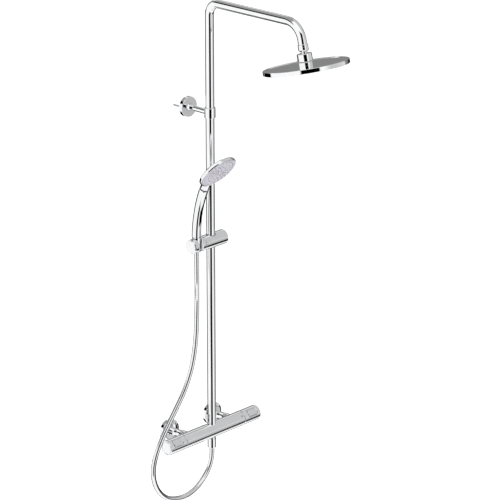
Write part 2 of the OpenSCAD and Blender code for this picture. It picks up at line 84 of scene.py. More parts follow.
class Place:
    """Looks up where the CAD put things, in millimetres."""

    @staticmethod
    def joint(name: str) -> tuple[Vector, Vector]:
        """Finds a joint's place and direction.

        Args:
            name: The joint's name in the record.

        Returns:
            The point it turns about, or the origin for a slide, and its unit axis.
        """
        found = next(j for j in frame["joints"] if j["name"] == name)
        point = Vector(found.get("pos_m") or (0, 0, 0)) / MM
        return point, Vector(found["axis"]).normalized()

    @staticmethod
    def low(node: str) -> Vector:
        """Lowest corner of a CAD node's box."""
        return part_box(node)[0] / MM

    @staticmethod
    def high(node: str) -> Vector:
        """Highest corner of a CAD node's box."""
        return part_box(node)[1] / MM

    @staticmethod
    def middle(node: str) -> Vector:
        """Middle of a CAD node's box."""
        return (Place.low(node) + Place.high(node)) / 2


def stand(origin: Vector | Corner, along: Vector | Corner, across: Vector | Corner = (1, 0, 0)) -> Matrix:
    """Makes a local frame whose +Z runs along a piece's axis.

    Args:
        origin: Where the local origin is, in millimetres.
        along: Direction of local +Z.
        across: Direction that local +X leans towards.

    Returns:
        The matrix from the local frame to the CAD's frame.
    """
    z = Vector(along).normalized()
    x = Vector(across) - Vector(across).dot(z) * z
    x = (x if x.length > 1e-6 else z.orthogonal()).normalized()
    y = z.cross(x)
    return Matrix(
        ((x.x, y.x, z.x, origin[0]), (x.y, y.y, z.y, origin[1]), (x.z, y.z, z.z, origin[2]), (0, 0, 0, 1))
    )


def carry(points: np.ndarray, at: Matrix) -> np.ndarray:
    """Moves points from a local frame into the CAD's frame.

    Args:
        points: Array whose last axis is x, y, z.
        at: The local frame.

    Returns:
        The moved points, in the same shape.
    """
    m = np.array(at, float)
    return points @ m[:3, :3].T + m[:3, 3]


# ---- meshes ----


@dataclass
class Shell:
    """A closed surface made of runs of rings, with the true normal at every corner.

    Each run is an array of rings x points x 3 that is smooth along its rings. The next run starts on the
    last ring of the run before, and the edge between the two is sharp.
    """

    name: str
    runs: list[np.ndarray]
    loop: bool = False

    def normals(self, run: np.ndarray) -> np.ndarray:
        """Works out a smooth run's normals from the rings and points next to each point.

        Args:
            run: Rings x points x 3.

        Returns:
            Unit normals in the same shape.
        """
        along = np.empty_like(run)
        along[1:-1] = run[2:] - run[:-2]
        for end, one, two in ((0, 1, 2), (-1, -2, -3)):
            step = run[one] - run[end]
            if len(run) > 2:
                after = run[two] - run[one]
                near = np.abs(after).max() < 3 * np.abs(step).max()
                step = 3 * step - after if near else step
            along[end] = step if end == 0 else -step
        around = np.roll(run, -1, axis=1) - np.roll(run, 1, axis=1)
        made = np.cross(around, along)
        size = np.linalg.norm(made, axis=2, keepdims=True)
        made = made / np.maximum(size, 1e-12)
        for i in (0, -1):
            if size[i].max() < 1e-9:
                inner = made[1 if i == 0 else -2].mean(axis=0)
                made[i] = inner / max(np.linalg.norm(inner), 1e-12)
        return made

    def build(self) -> bpy.types.Object:
        """Builds the mesh, closed at both ends, facing outwards.

        Returns:
            The new object.
        """
        points: list[np.ndarray] = []
        faces: list[tuple[int, ...]] = []
        corners: list[list[np.ndarray]] = []
        count = 0

        def ring(row: np.ndarray) -> np.ndarray:
            """Adds a ring's points, or one point where the ring closes to a pole.

            Args:
                row: Points x 3.

            Returns:
                Each point's index.
            """
            nonlocal count
            pole = np.ptp(row, axis=0).max() < 1e-6
            points.append(row[:1] if pole else row)
            made = np.full(len(row), count) if pole else np.arange(count, count + len(row))
            count += 1 if pole else len(row)
            return made

        first = last = ring(self.runs[0][0])
        for number, run in enumerate(self.runs):
            normals = self.normals(run)
            for i in range(1, len(run)):
                closing = self.loop and number == len(self.runs) - 1 and i == len(run) - 1
                row = first if closing else ring(run[i])
                self.join(last, row, normals[i - 1], normals[i], faces, corners)
                last = row
        if not self.loop:
            for row, normal_of, flip in ((first, self.runs[0][0], True), (last, self.runs[-1][-1], False)):
                if row[0] != row[1]:
                    order = row[::-1] if flip else row
                    flat = np.cross(normal_of[1] - normal_of[0], normal_of[2] - normal_of[1])
                    flat = flat / max(np.linalg.norm(flat), 1e-12) * (-1 if flip else 1)
                    faces.append(tuple(int(k) for k in order))
                    corners.append([flat] * len(order))
        return self.finish(np.vstack(points), faces, corners)

    @staticmethod
    def join(
        a: np.ndarray, b: np.ndarray, na: np.ndarray, nb: np.ndarray, faces: list, corners: list
    ) -> None:
        """Adds the faces between two rings.

        Args:
            a: Point numbers of the first ring.
            b: Point numbers of the second ring.
            na: Normals at the first ring.
            nb: Normals at the second ring.
            faces: Faces so far.
            corners: Corner normals so far.
        """
        n = len(a)
        for j in range(n):
            k = (j + 1) % n
            if a[0] == a[1]:
                faces.append((int(a[j]), int(b[k]), int(b[j])))
                corners.append([na[j], nb[k], nb[j]])
            elif b[0] == b[1]:
                faces.append((int(a[j]), int(a[k]), int(b[j])))
                corners.append([na[j], na[k], nb[j]])
            else:
                faces.append((int(a[j]), int(a[k]), int(b[k]), int(b[j])))
                corners.append([na[j], na[k], nb[k], nb[j]])

    def finish(self, points: np.ndarray, faces: list, corners: list) -> bpy.types.Object:
        """Turns points, faces and corner normals into an object.

        Args:
            points: All points, in millimetres.
            faces: Point numbers of each face.
            corners: A normal for each corner of each face.

        Returns:
            The new object.
        """
        volume = 0.0
        for f in faces:
            p = points[list(f)]
            for i in range(1, len(f) - 1):
                volume += float(np.dot(p[0], np.cross(p[i], p[i + 1])))
        if volume < 0:
            faces = [f[::-1] for f in faces]
            corners = [[-n for n in c[::-1]] for c in corners]
        return new_object(self.name, points, faces, [n for c in corners for n in c])


def new_object(name: str, points: np.ndarray, faces: list, normals: list | None = None) -> bpy.types.Object:
    """Makes a smooth mesh object from millimetres.

    Args:
        name: The object's name.
        points: All points, in millimetres.
        faces: Point numbers of each face.
        normals: A normal for each face corner, or None for Blender's own.

    Returns:
        The new object, in the scene.
    """
    mesh = bpy.data.meshes.new(name)
    mesh.from_pydata((points * MM).tolist(), [], faces)
    mesh.polygons.foreach_set("use_smooth", [True] * len(mesh.polygons))
    mesh.update()
    if normals is not None:
        mesh.normals_split_custom_set([tuple(n) for n in normals])
    made = bpy.data.objects.new(name, mesh)
    bpy.context.scene.collection.objects.link(made)
    return made


def outline_runs(corners: list[Corner], closed: bool = False, step: float = 0.0) -> list[np.ndarray]:
    """Rounds the corners of an outline that a piece is turned from.

    Args:
        corners: Places along the axis, radii, and where a corner is round its fillet radius.
        closed: Whether the outline is a loop. Its first corner is then sharp.
        step: Longest stretch without a ring, or 0 for no limit.

    Returns:
        Runs of points (along, radius), with a new run at each sharp corner.
    """
    sharp = [np.array(c[:2], float) for c in corners]
    n = len(sharp)
    runs: list[list[np.ndarray]] = [[]]
    order = list(range(n)) + ([0] if closed else [])
    for place, i in enumerate(order):
        here, fillet = sharp[i], (corners[i][2] if len(corners[i]) > 2 else 0.0)
        inner = 0 < place < len(order) - 1
        before, after = sharp[i - 1], sharp[(i + 1) % n]
        one, two = here - before, after - here
        lengths = np.linalg.norm(one), np.linalg.norm(two)
        one, two = one / lengths[0], two / lengths[1]
        turn = math.atan2(one[0] * two[1] - one[1] * two[0], float(one @ two))
        if not inner or fillet <= 0 or abs(turn) < 1e-3:
            runs[-1].append(here)
            if inner and abs(turn) >= 1e-3:
                runs.append([here])
            continue
        reach = min(fillet * math.tan(abs(turn) / 2), 0.48 * min(lengths))
        radius = reach / math.tan(abs(turn) / 2)
        side = math.copysign(1.0, turn)
        start = here - one * reach
        centre = start + radius * side * np.array([-one[1], one[0]])
        steps = max(3, math.ceil(abs(turn) / math.radians(12)))
        for k in range(steps + 1):
            a = turn * k / steps
            arm = start - centre
            c, s = math.cos(a), math.sin(a)
            runs[-1].append(centre + np.array([c * arm[0] - s * arm[1], s * arm[0] + c * arm[1]]))
    made = []
    for run in runs:
        if len(run) < 2:
            continue
        dense = [run[0]]
        for p in run[1:]:
            parts = max(1, math.ceil(np.linalg.norm(p - dense[-1]) / step)) if step else 1
            start = dense[-1]
            dense += [start + (p - start) * k / parts for k in range(1, parts + 1)]
        made.append(np.array(dense))
    return made


def spun(run: np.ndarray, at: Matrix, segments: int) -> np.ndarray:
    """Spins an outline's run about local +Z.

    Args:
        run: Points (along, radius).
        at: The local frame.
        segments: Points around.

    Returns:
        Rings x points x 3.
    """
    a = np.linspace(0, 2 * math.pi, segments, endpoint=False)
    ring = np.stack([np.cos(a), np.sin(a)], axis=1)
    flat = np.stack(
        [run[:, 1:2] * ring[None, :, 0], run[:, 1:2] * ring[None, :, 1], np.repeat(run[:, :1], segments, 1)],
        axis=2,
    )
    return carry(flat, at)


def turned(
    name: str, corners: list[Corner], at: Matrix, closed: bool = False, segments: int = 96, step: float = 0.0
) -> bpy.types.Object:
    """Makes a piece turned on a lathe.

    Args:
        name: The object's name.
        corners: The outline, as outline_runs takes it.
        at: Frame whose +Z is the piece's axis.
        closed: Whether the outline is a loop, as of a ring or tube.
        segments: Points around.
        step: Longest stretch along the axis without a ring.

    Returns:
        The new object.
    """
    runs = [spun(run, at, segments) for run in outline_runs(corners, closed, step)]
    return Shell(name, runs, closed).build()


def tube_rings(path: np.ndarray, binormal: Corner, section: np.ndarray, sizes: np.ndarray) -> np.ndarray:
    """Sweeps a section along a path that lies in a plane or near it.

    Args:
        path: Points of the centreline.
        binormal: Direction square to the path's plane.
        section: Points x 2, within the path's plane and square to it.
        sizes: The section's size at each point of the path.

    Returns:
        Rings x points x 3.
    """
    along = np.empty_like(path)
    along[1:-1] = path[2:] - path[:-2]
    along[0], along[-1] = path[1] - path[0], path[-1] - path[-2]
    along /= np.linalg.norm(along, axis=1, keepdims=True)
    across = np.cross(np.array(binormal, float), along)
    across /= np.linalg.norm(across, axis=1, keepdims=True)
    side = np.cross(along, across)
    return (
        path[:, None]
        + sizes[:, None, None] * (
            section[None, :, :1] * across[:, None] + section[None, :, 1:] * side[:, None]
        )
    )


def circle(points: int = 64, power: float = 2.0) -> np.ndarray:
    """Makes a round section.

    Args:
        points: Points around.
        power: 2 for a circle, and more for a squarer round.

    Returns:
        Points x 2 at size 1.
    """
    a = np.linspace(0, 2 * math.pi, points, endpoint=False)
    c, s = np.cos(a), np.sin(a)
    size = (np.abs(c) ** power + np.abs(s) ** power) ** (-1 / power)
    return np.stack([c * size, s * size], axis=1)


@dataclass(frozen=True)
class Coil:
    """A compression spring of round wire."""

    radius: float
    wire: float
    length: float
    turns: int
    travel: float

    def build(self, name: str, at: Matrix) -> bpy.types.Object:
        """Winds the wire, with its end turns nearly flat.

        Args:
            name: The piece's name.
            at: Frame at the spring's foot with +Z along it.

        Returns:
            The new object.
        """
        flat, low, high = 0.7, 2.4 * self.wire, self.length - 2.4 * self.wire
        t = np.linspace(0, self.turns, 36 * self.turns + 1)
        rise = np.interp(
            t, [0, flat, self.turns - flat, self.turns], [self.wire, low, high, self.length - self.wire]
        )
        a = 2 * math.pi * t
        path = np.stack([self.radius * np.cos(a), self.radius * np.sin(a), rise], axis=1)
        rings = tube_rings(path, (0, 0, 1), circle(12), np.full(len(path), self.wire))
        return Shell(name, [carry(rings, at)]).build()

    def flatten(self, piece: bpy.types.Object, joint: str, at: Matrix) -> None:
        """Gives the spring a mesh of its own.

        Args:
            piece: The wound spring, already on its body.
            joint: The button's joint. Not used.
            at: Frame at the spring's foot with +Z along it. Not used.
        """
        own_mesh(piece)


@dataclass(frozen=True)
class Barrel:
    """A round surface that cut pieces keep their true normals on."""

    point: Corner
    direction: Corner
    radius: float


def cut(base: bpy.types.Object, tool: bpy.types.Object, barrels: list[Barrel]) -> None:
    """Cuts one piece with another and restores the normals of its round surfaces.

    Args:
        base: The piece that stays.
        tool: The piece that is taken away from it, and removed.
        barrels: Round surfaces of the base.
    """
    step = base.modifiers.new("cut", "BOOLEAN")
    step.operation, step.solver, step.object = "DIFFERENCE", "EXACT", tool
    bpy.context.view_layer.update()
    seen = base.evaluated_get(bpy.context.evaluated_depsgraph_get())
    mesh = bpy.data.meshes.new_from_object(seen)
    base.modifiers.clear()
    base.data = mesh
    bpy.data.objects.remove(tool)
    for spare in ("custom_normal", "sharp_face", "sharp_edge"):
        if mesh.attributes.get(spare):
            mesh.attributes.remove(mesh.attributes[spare])
    mesh.polygons.foreach_set("use_smooth", [True] * len(mesh.polygons))
    mesh.set_sharp_from_angle(angle=math.radians(28))
    mesh.update()
    normals = [Vector(c.vector) for c in mesh.corner_normals]
    points = np.array([v.co for v in mesh.vertices], float).reshape(-1, 3) / MM
    for barrel in barrels:
        d = np.array(barrel.direction, float)
        off = points - np.array(barrel.point, float)
        radial = off - np.outer(off @ d, d)
        size = np.linalg.norm(radial, axis=1)
        on = np.abs(size - barrel.radius) < 0.02
        for poly in mesh.polygons:
            if all(on[i] for i in poly.vertices):
                for loop, i in zip(poly.loop_indices, poly.vertices):
                    n = Vector(radial[i] / size[i])
                    normals[loop] = n if n.dot(poly.normal) > 0 else -n
    mesh.normals_split_custom_set([tuple(n) for n in normals])


@dataclass(frozen=True)
class Branch:
    """A pipe that grows out of a round bar with a fillet where the two meet."""

    bar_radius: float
    pipe_radius: float
    fillet: float
    segments: int = 96

    def runs(self, corners: list[Corner], at: Matrix) -> list[np.ndarray]:
        """Makes the runs of the pipe.

        Args:
            corners: The pipe's outline from the bar outwards, for outline_runs, from a corner on the pipe.
            at: Frame on the bar's axis, with +Z along the pipe and +X along the bar.

        Returns:
            The runs, from inside the bar to the outline's end.
        """
        a = np.linspace(0, 2 * math.pi, self.segments, endpoint=False)
        c, s = np.cos(a), np.sin(a)

        def ring(radius: float, lift: float) -> np.ndarray:
            """Lays a round of the pipe on the bar's skin, raised by a lift."""
            height = np.sqrt(self.bar_radius**2 - (radius * s) ** 2) + lift
            return np.stack([radius * c, radius * s, height], axis=1)

        inside = np.array([ring(self.pipe_radius * 0.5, -3), ring(self.pipe_radius + self.fillet, -0.01)])
        turn = np.linspace(math.pi / 2, 0, 7)
        flare = [
            ring(self.pipe_radius + self.fillet * (1 - math.cos(t)), self.fillet * (1 - math.sin(t)))
            for t in turn
        ]
        flare[0] = inside[-1]
        outer = outline_runs(corners)
        first = np.stack(
            [outer[0][:, 1:2] * c, outer[0][:, 1:2] * s, np.repeat(outer[0][:, :1], len(a), 1)], axis=2
        )
        joined = np.concatenate([np.array(flare), first])
        return [carry(inside, at), carry(joined, at)] + [spun(run, at, self.segments) for run in outer[1:]]


@dataclass(frozen=True)
class KeyOutline:
    """A rounded rectangle that a push button and its pocket share."""

    half_length: float = 14.0
    half_width: float = 8.5
    corner: float = 2.5

    def points(self, grow: float) -> np.ndarray:
        """Makes the outline, grown all round.

        Args:
            grow: How far it is moved outwards.

        Returns:
            Points x 2, anticlockwise.
        """
        made = []
        for number, (i, j) in enumerate(((1, 1), (-1, 1), (-1, -1), (1, -1))):
            centre = np.array([i * (self.half_length - self.corner), j * (self.half_width - self.corner)])
            for k in range(9):
                a = math.radians(90 * number + 90 * k / 8)
                made.append(centre + (self.corner + grow) * np.array([math.cos(a), math.sin(a)]))
        dense = []
        for p, q in zip(made, made[1:] + made[:1]):
            parts = max(1, round(float(np.linalg.norm(q - p)) / 1.5))
            dense += [p + (q - p) * k / parts for k in range(parts)]
        return np.array(dense)

    def ring(self, grow: float, radius: float, at: Matrix, share: float = 1.0) -> np.ndarray:
        """Lays the outline on a barrel.

        Args:
            grow: How far it is moved outwards.
            radius: The barrel's radius there.
            at: Frame on the barrel's axis: +X along the barrel, +Z out through the key's middle.
            share: Size of the outline, from 0 at its middle to 1.

        Returns:
            Points x 3.
        """
        flat = self.points(grow) * share
        height = np.sqrt(radius**2 - flat[:, 1] ** 2)
        return carry(np.column_stack([flat, height]), at)

    def solid(self, name: str, wall: list[Corner], at: Matrix) -> bpy.types.Object:
        """Makes a key-shaped solid between two barrels.

        Args:
            name: The object's name.
            wall: Grow and barrel radius of each ring from the foot to the top's rim. A third number over 0
                starts a new run.
            at: Frame as for ring.

        Returns:
            The new object.
        """
        shares = (0.0, 0.2, 0.45, 0.7, 0.88, 1.0)
        foot = np.array([self.ring(wall[0][0], wall[0][1], at, s) for s in shares])
        runs, sides = [foot], [self.ring(wall[0][0], wall[0][1], at)]
        for step in wall[1:]:
            sides.append(self.ring(step[0], step[1], at))
            if len(step) > 2:
                runs.append(np.array(sides))
                sides = [sides[-1]]
        sides += [self.ring(wall[-1][0], wall[-1][1], at, s) for s in shares[-2::-1]]
        runs.append(np.array(sides))
        return Shell(name, runs).build()


def scatter(name: str, unit: bpy.types.Object, spots: list[Matrix]) -> bpy.types.Object:
    """Repeats a small piece at many places as one mesh.

    Args:
        name: The new object's name.
        unit: The piece, made about the origin, which is removed.
        spots: Where each copy stands, in millimetres.

    Returns:
        The new object.
    """
    mesh = unit.data
    points = np.array([v.co for v in mesh.vertices], float).reshape(-1, 3) / MM
    faces = [tuple(p.vertices) for p in mesh.polygons]
    normals = np.array([c.vector for c in mesh.corner_normals], float).reshape(-1, 3)
    all_points, all_faces, all_normals = [], [], []
    for k, spot in enumerate(spots):
        all_points.append(carry(points, spot))
        all_faces += [tuple(i + k * len(points) for i in f) for f in faces]
        all_normals.append(normals @ np.array(spot, float)[:3, :3].T)
    bpy.data.objects.remove(unit)
    return new_object(name, np.vstack(all_points), all_faces, list(np.vstack(all_normals)))


# ---- finishes ----


class Wiring:
    """Adds nodes to one node tree and joins them."""

    def __init__(self, tree: bpy.types.NodeTree) -> None:
        """Holds the tree."""
        self.tree = tree

    def node(self, kind: str, **settings: object) -> bpy.types.Node:
        """Adds a node.

        Args:
            kind: The node's type name.
            settings: Properties to set on it.

        Returns:
            The new node.
        """
        made = self.tree.nodes.new(kind)
        for key, value in settings.items():
            setattr(made, key, value)
        return made

    def feed(self, target: bpy.types.NodeSocket, value: object) -> None:
        """Joins a socket to an input, or sets the input's own value.

        Args:
            target: The input.
            value: A socket, or the value itself.
        """
        if isinstance(value, bpy.types.NodeSocket):
            self.tree.links.new(value, target)
        else:
            target.default_value = value

    def math(self, operation: str, a: object, b: object = 0.0, clamp: bool = False) -> bpy.types.NodeSocket:
        """Adds a Math node.

        Args:
            operation: What it does, such as MULTIPLY.
            a: First value or socket.
            b: Second value or socket.
            clamp: Whether the result stays from 0 to 1.

        Returns:
            Its output.
        """
        made = self.node("ShaderNodeMath", operation=operation, use_clamp=clamp)
        self.feed(made.inputs[0], a)
        self.feed(made.inputs[1], b)
        return made.outputs[0]

    def spread(
        self, value: object, low: float, high: float, to_low: object, to_high: object, smooth: bool = False
    ) -> bpy.types.NodeSocket:
        """Maps a value from one range to another.

        Args:
            value: The value.
            low: Start of its range.
            high: End of its range.
            to_low: Result at the start.
            to_high: Result at the end.
            smooth: Whether the change eases in and out.

        Returns:
            The mapped value.
        """
        made = self.node("ShaderNodeMapRange", interpolation_type="SMOOTHSTEP" if smooth else "LINEAR")
        for i, v in enumerate((value, low, high, to_low, to_high)):
            self.feed(made.inputs[i], v)
        return made.outputs[0]

    def blend(self, share: object, a: object, b: object) -> bpy.types.NodeSocket:
        """Mixes two colours.

        Args:
            share: How much of the second colour.
            a: First colour or socket.
            b: Second colour or socket.

        Returns:
            The mixed colour.
        """
        made = self.node("ShaderNodeMix", data_type="RGBA")
        self.feed(made.inputs[0], share)
        self.feed(made.inputs[6], (*a, 1.0) if isinstance(a, tuple) else a)
        self.feed(made.inputs[7], (*b, 1.0) if isinstance(b, tuple) else b)
        return made.outputs[2]

    def noise(
        self, scale: object, detail: float = 3.0, stretch: Corner | None = None
    ) -> bpy.types.NodeSocket:
        """Adds a noise in the piece's own coordinates.

        Args:
            scale: How fine it is, per metre.
            detail: Layers of finer noise.
            stretch: Scale along X, Y and Z, or None.

        Returns:
            Its value.
        """
        where = self.node("ShaderNodeTexCoord").outputs["Object"]
        if stretch is not None:
            mapping = self.node("ShaderNodeMapping")
            self.feed(mapping.inputs["Vector"], where)
            mapping.inputs["Scale"].default_value = stretch
            where = mapping.outputs["Vector"]
        made = self.node("ShaderNodeTexNoise")
        self.feed(made.inputs["Vector"], where)
        self.feed(made.inputs["Scale"], scale)
        made.inputs["Detail"].default_value = detail
        return made.outputs[0]

    def bump(self, height: bpy.types.NodeSocket, strength: float, distance: float) -> bpy.types.NodeSocket:
        """Adds a Bump node.

        Args:
            height: What it raises.
            strength: How strong it is, from 0 to 1.
            distance: Full height in metres.

        Returns:
            The normal.
        """
        made = self.node("ShaderNodeBump")
        made.inputs["Strength"].default_value = strength
        made.inputs["Distance"].default_value = distance
        self.feed(made.inputs["Height"], height)
        return made.outputs[0]

    def group(self, effect: "Effect", **values: float) -> dict[str, bpy.types.NodeSocket]:
        """Places a shared effect with its own values.

        Args:
            effect: The effect.
            values: Its inputs by name, with _ for a space.

        Returns:
            Its outputs by name.
        """
        made = self.node("ShaderNodeGroup")
        made.node_tree = effect.tree()
        for key, value in values.items():
            self.feed(made.inputs[key.replace("_", " ")], value)
        return {s.name: s for s in made.outputs}


class Effect(Enum):
    """Surface effects that several finishes share, each one a node group."""

    POLISH = "polish_mottle"
    DROPS = "dried_drops"
    GRAIN = "moulded_grain"
    MARKS = "turning_marks"

    def tree(self) -> bpy.types.NodeTree:
        """Returns the effect's node group, built the first time."""
        found = bpy.data.node_groups.get(self.value)
        return found or getattr(self, f"make_{self.name.lower()}")()

    def start(
        self, inputs: dict[str, float], outputs: list[str]
    ) -> tuple[Wiring, bpy.types.Node, bpy.types.Node]:
        """Makes an empty group with its sockets.

        Args:
            inputs: Name and usual value of each input.
            outputs: Names of the outputs.

        Returns:
            The group's wiring, its input node and its output node.
        """
        tree = bpy.data.node_groups.new(self.value, "ShaderNodeTree")
        for name, value in inputs.items():
            socket = tree.interface.new_socket(name, in_out="INPUT", socket_type="NodeSocketFloat")
            socket.default_value = value
        for name in outputs:
            tree.interface.new_socket(name, in_out="OUTPUT", socket_type="NodeSocketFloat")
        w = Wiring(tree)
        return w, w.node("NodeGroupInput"), w.node("NodeGroupOutput")

    def make_polish(self) -> bpy.types.NodeTree:
        """Builds the faint unevenness of a polished or plated skin.

        Returns:
            The node group.
        """
        w, given, out = self.start(
            {"Scale": 40.0, "Low": 0.03, "High": 0.07}, ["Shade", "Roughness", "Height"]
        )
        wide = w.noise(given.outputs["Scale"], 2.0)
        fine = w.noise(w.math("MULTIPLY", given.outputs["Scale"], 22.0), 4.0)
        shade = w.math("ADD", w.math("MULTIPLY", wide, 0.7), w.math("MULTIPLY", fine, 0.3))
        w.feed(out.inputs["Shade"], w.spread(shade, 0.3, 0.7, 0.0, 1.0))
        w.feed(
            out.inputs["Roughness"], w.spread(fine, 0.35, 0.7, given.outputs["Low"], given.outputs["High"])
        )
        w.feed(out.inputs["Height"], wide)
        return w.tree

    def make_drops(self) -> bpy.types.NodeTree:
        """Builds the pale rims that drops of hard water leave when they dry.

        Returns:
            The node group.
        """
        w, given, out = self.start({"Scale": 90.0, "Amount": 0.5}, ["Mask"])
        where = w.node("ShaderNodeTexCoord").outputs["Object"]
        cells = w.node("ShaderNodeTexVoronoi", feature="F1")
        w.feed(cells.inputs["Vector"], where)
        w.feed(cells.inputs["Scale"], given.outputs["Scale"])
        rim = w.math(
            "SUBTRACT", 1.0,
            w.math("MULTIPLY", w.math("ABSOLUTE", w.math("SUBTRACT", cells.outputs["Distance"], 0.3)), 14.0),
            True,
        )
        patch = w.spread(w.noise(w.math("MULTIPLY", given.outputs["Scale"], 0.12), 1.0), 0.5, 0.62, 0.0, 1.0)
        w.feed(
            out.inputs["Mask"], w.math("MULTIPLY", w.math("MULTIPLY", rim, patch), given.outputs["Amount"])
        )
        return w.tree

    def make_grain(self) -> bpy.types.NodeTree:
        """Builds the fine grain of moulded plastic or rubber.

        Returns:
            The node group.
        """
        w, given, out = self.start(
            {"Scale": 900.0, "Low": 0.3, "High": 0.5}, ["Shade", "Roughness", "Height"]
        )
        fine = w.noise(given.outputs["Scale"], 5.0)
        wide = w.noise(w.math("MULTIPLY", given.outputs["Scale"], 0.05), 2.0)
        both = w.math("ADD", w.math("MULTIPLY", fine, 0.4), w.math("MULTIPLY", wide, 0.6))
        w.feed(out.inputs["Shade"], w.spread(both, 0.3, 0.7, 0.0, 1.0))
        w.feed(out.inputs["Roughness"], w.spread(fine, 0.3, 0.7, given.outputs["Low"], given.outputs["High"]))
        w.feed(out.inputs["Height"], fine)
        return w.tree

    def make_marks(self) -> bpy.types.NodeTree:
        """Builds the fine parallel marks of a cutting or brushing tool.

        Returns:
            The node group.
        """
        w, given, out = self.start({"Scale": 60.0, "Low": 0.2, "High": 0.4}, ["Shade", "Roughness", "Height"])
        fine = w.noise(given.outputs["Scale"], 4.0, (3.0, 60.0, 60.0))
        w.feed(out.inputs["Shade"], w.spread(fine, 0.3, 0.7, 0.0, 1.0))
        w.feed(out.inputs["Roughness"], w.spread(fine, 0.3, 0.7, given.outputs["Low"], given.outputs["High"]))
        w.feed(out.inputs["Height"], fine)
        return w.tree


@dataclass(frozen=True)
class Finish:
    """One surface finish, made as a material the first time it is used."""

    name: str
    slot: str
    light: Colour
    deep: Colour

    def material(self) -> bpy.types.Material:
        """Returns the finish's material, built the first time."""
        found = bpy.data.materials.get(self.name)
        if found:
            return found
        made = bpy.data.materials.new(self.name)
        made.use_nodes = True
        shader = made.node_tree.nodes["Principled BSDF"]
        self.wire(Wiring(made.node_tree), shader)
        return made

    def wire(self, w: Wiring, shader: bpy.types.Node) -> None:
        """Joins the finish's nodes to its shader.

        Args:
            w: Wiring of the material.
            shader: Its Principled BSDF.
        """
        raise NotImplementedError


@dataclass(frozen=True)
class Plated(Finish):
    """Bright plate over brass or plastic, with faint waves and dried drops."""

    scale: float = 30.0
    low: float = 0.008
    high: float = 0.03
    wave: float = 0.006

    def wire(self, w: Wiring, shader: bpy.types.Node) -> None:
        """Joins polish, drops and a faint wave to the shader.

        Args:
            w: Wiring of the material.
            shader: Its Principled BSDF.
        """
        polish = w.group(Effect.POLISH, Scale=self.scale, Low=self.low, High=self.high)
        drops = w.group(Effect.DROPS, Scale=110.0, Amount=0.5)
        shader.inputs["Metallic"].default_value = 1.0
        colour = w.blend(polish["Shade"], self.deep, self.light)
        w.feed(
            shader.inputs["Base Color"],
            w.blend(w.math("MULTIPLY", drops["Mask"], 0.12), colour, (0.80, 0.81, 0.82)),
        )
        w.feed(
            shader.inputs["Roughness"],
            w.math("ADD", polish["Roughness"], w.math("MULTIPLY", drops["Mask"], 0.12)),
        )
        w.feed(shader.inputs["Normal"], w.bump(polish["Height"], self.wave, 0.0015))


@dataclass(frozen=True)
class Machined(Finish):
    """Turned or brushed bare metal."""

    low: float = 0.18
    high: float = 0.38
    depth: float = 0.12

    def wire(self, w: Wiring, shader: bpy.types.Node) -> None:
        """Joins the tool marks to the shader.

        Args:
            w: Wiring of the material.
            shader: Its Principled BSDF.
        """
        marks = w.group(Effect.MARKS, Scale=60.0, Low=self.low, High=self.high)
        polish = w.group(Effect.POLISH, Scale=25.0, Low=self.low, High=self.high)
        shader.inputs["Metallic"].default_value = 1.0
        share = w.math("MULTIPLY", w.math("ADD", marks["Shade"], polish["Shade"]), 0.5)
        w.feed(shader.inputs["Base Color"], w.blend(share, self.deep, self.light))
        w.feed(shader.inputs["Roughness"], marks["Roughness"])
        w.feed(shader.inputs["Normal"], w.bump(marks["Height"], self.depth, 0.0003))


@dataclass(frozen=True)
class Moulded(Finish):
    """Moulded plastic, silicone or rubber."""

    low: float = 0.3
    high: float = 0.5
    grain: float = 900.0
    depth: float = 0.1
    gloss: float = 0.5
    soft: float = 0.0

    def wire(self, w: Wiring, shader: bpy.types.Node) -> None:
        """Joins the grain and a little dried water to the shader.

        Args:
            w: Wiring of the material.
            shader: Its Principled BSDF.
        """
        grain = w.group(Effect.GRAIN, Scale=self.grain, Low=self.low, High=self.high)
        drops = w.group(Effect.DROPS, Scale=140.0, Amount=0.4)
        shader.inputs["Specular IOR Level"].default_value = self.gloss
        shader.inputs["Subsurface Weight"].default_value = self.soft
        shader.inputs["Subsurface Scale"].default_value = 0.002
        colour = w.blend(grain["Shade"], self.deep, self.light)
        w.feed(
            shader.inputs["Base Color"],
            w.blend(w.math("MULTIPLY", drops["Mask"], 0.3), colour, (0.86, 0.86, 0.85)),
        )
        w.feed(
            shader.inputs["Roughness"],
            w.math("ADD", grain["Roughness"], w.math("MULTIPLY", drops["Mask"], 0.15)),
        )
        w.feed(shader.inputs["Normal"], w.bump(grain["Height"], self.depth, 0.0002))


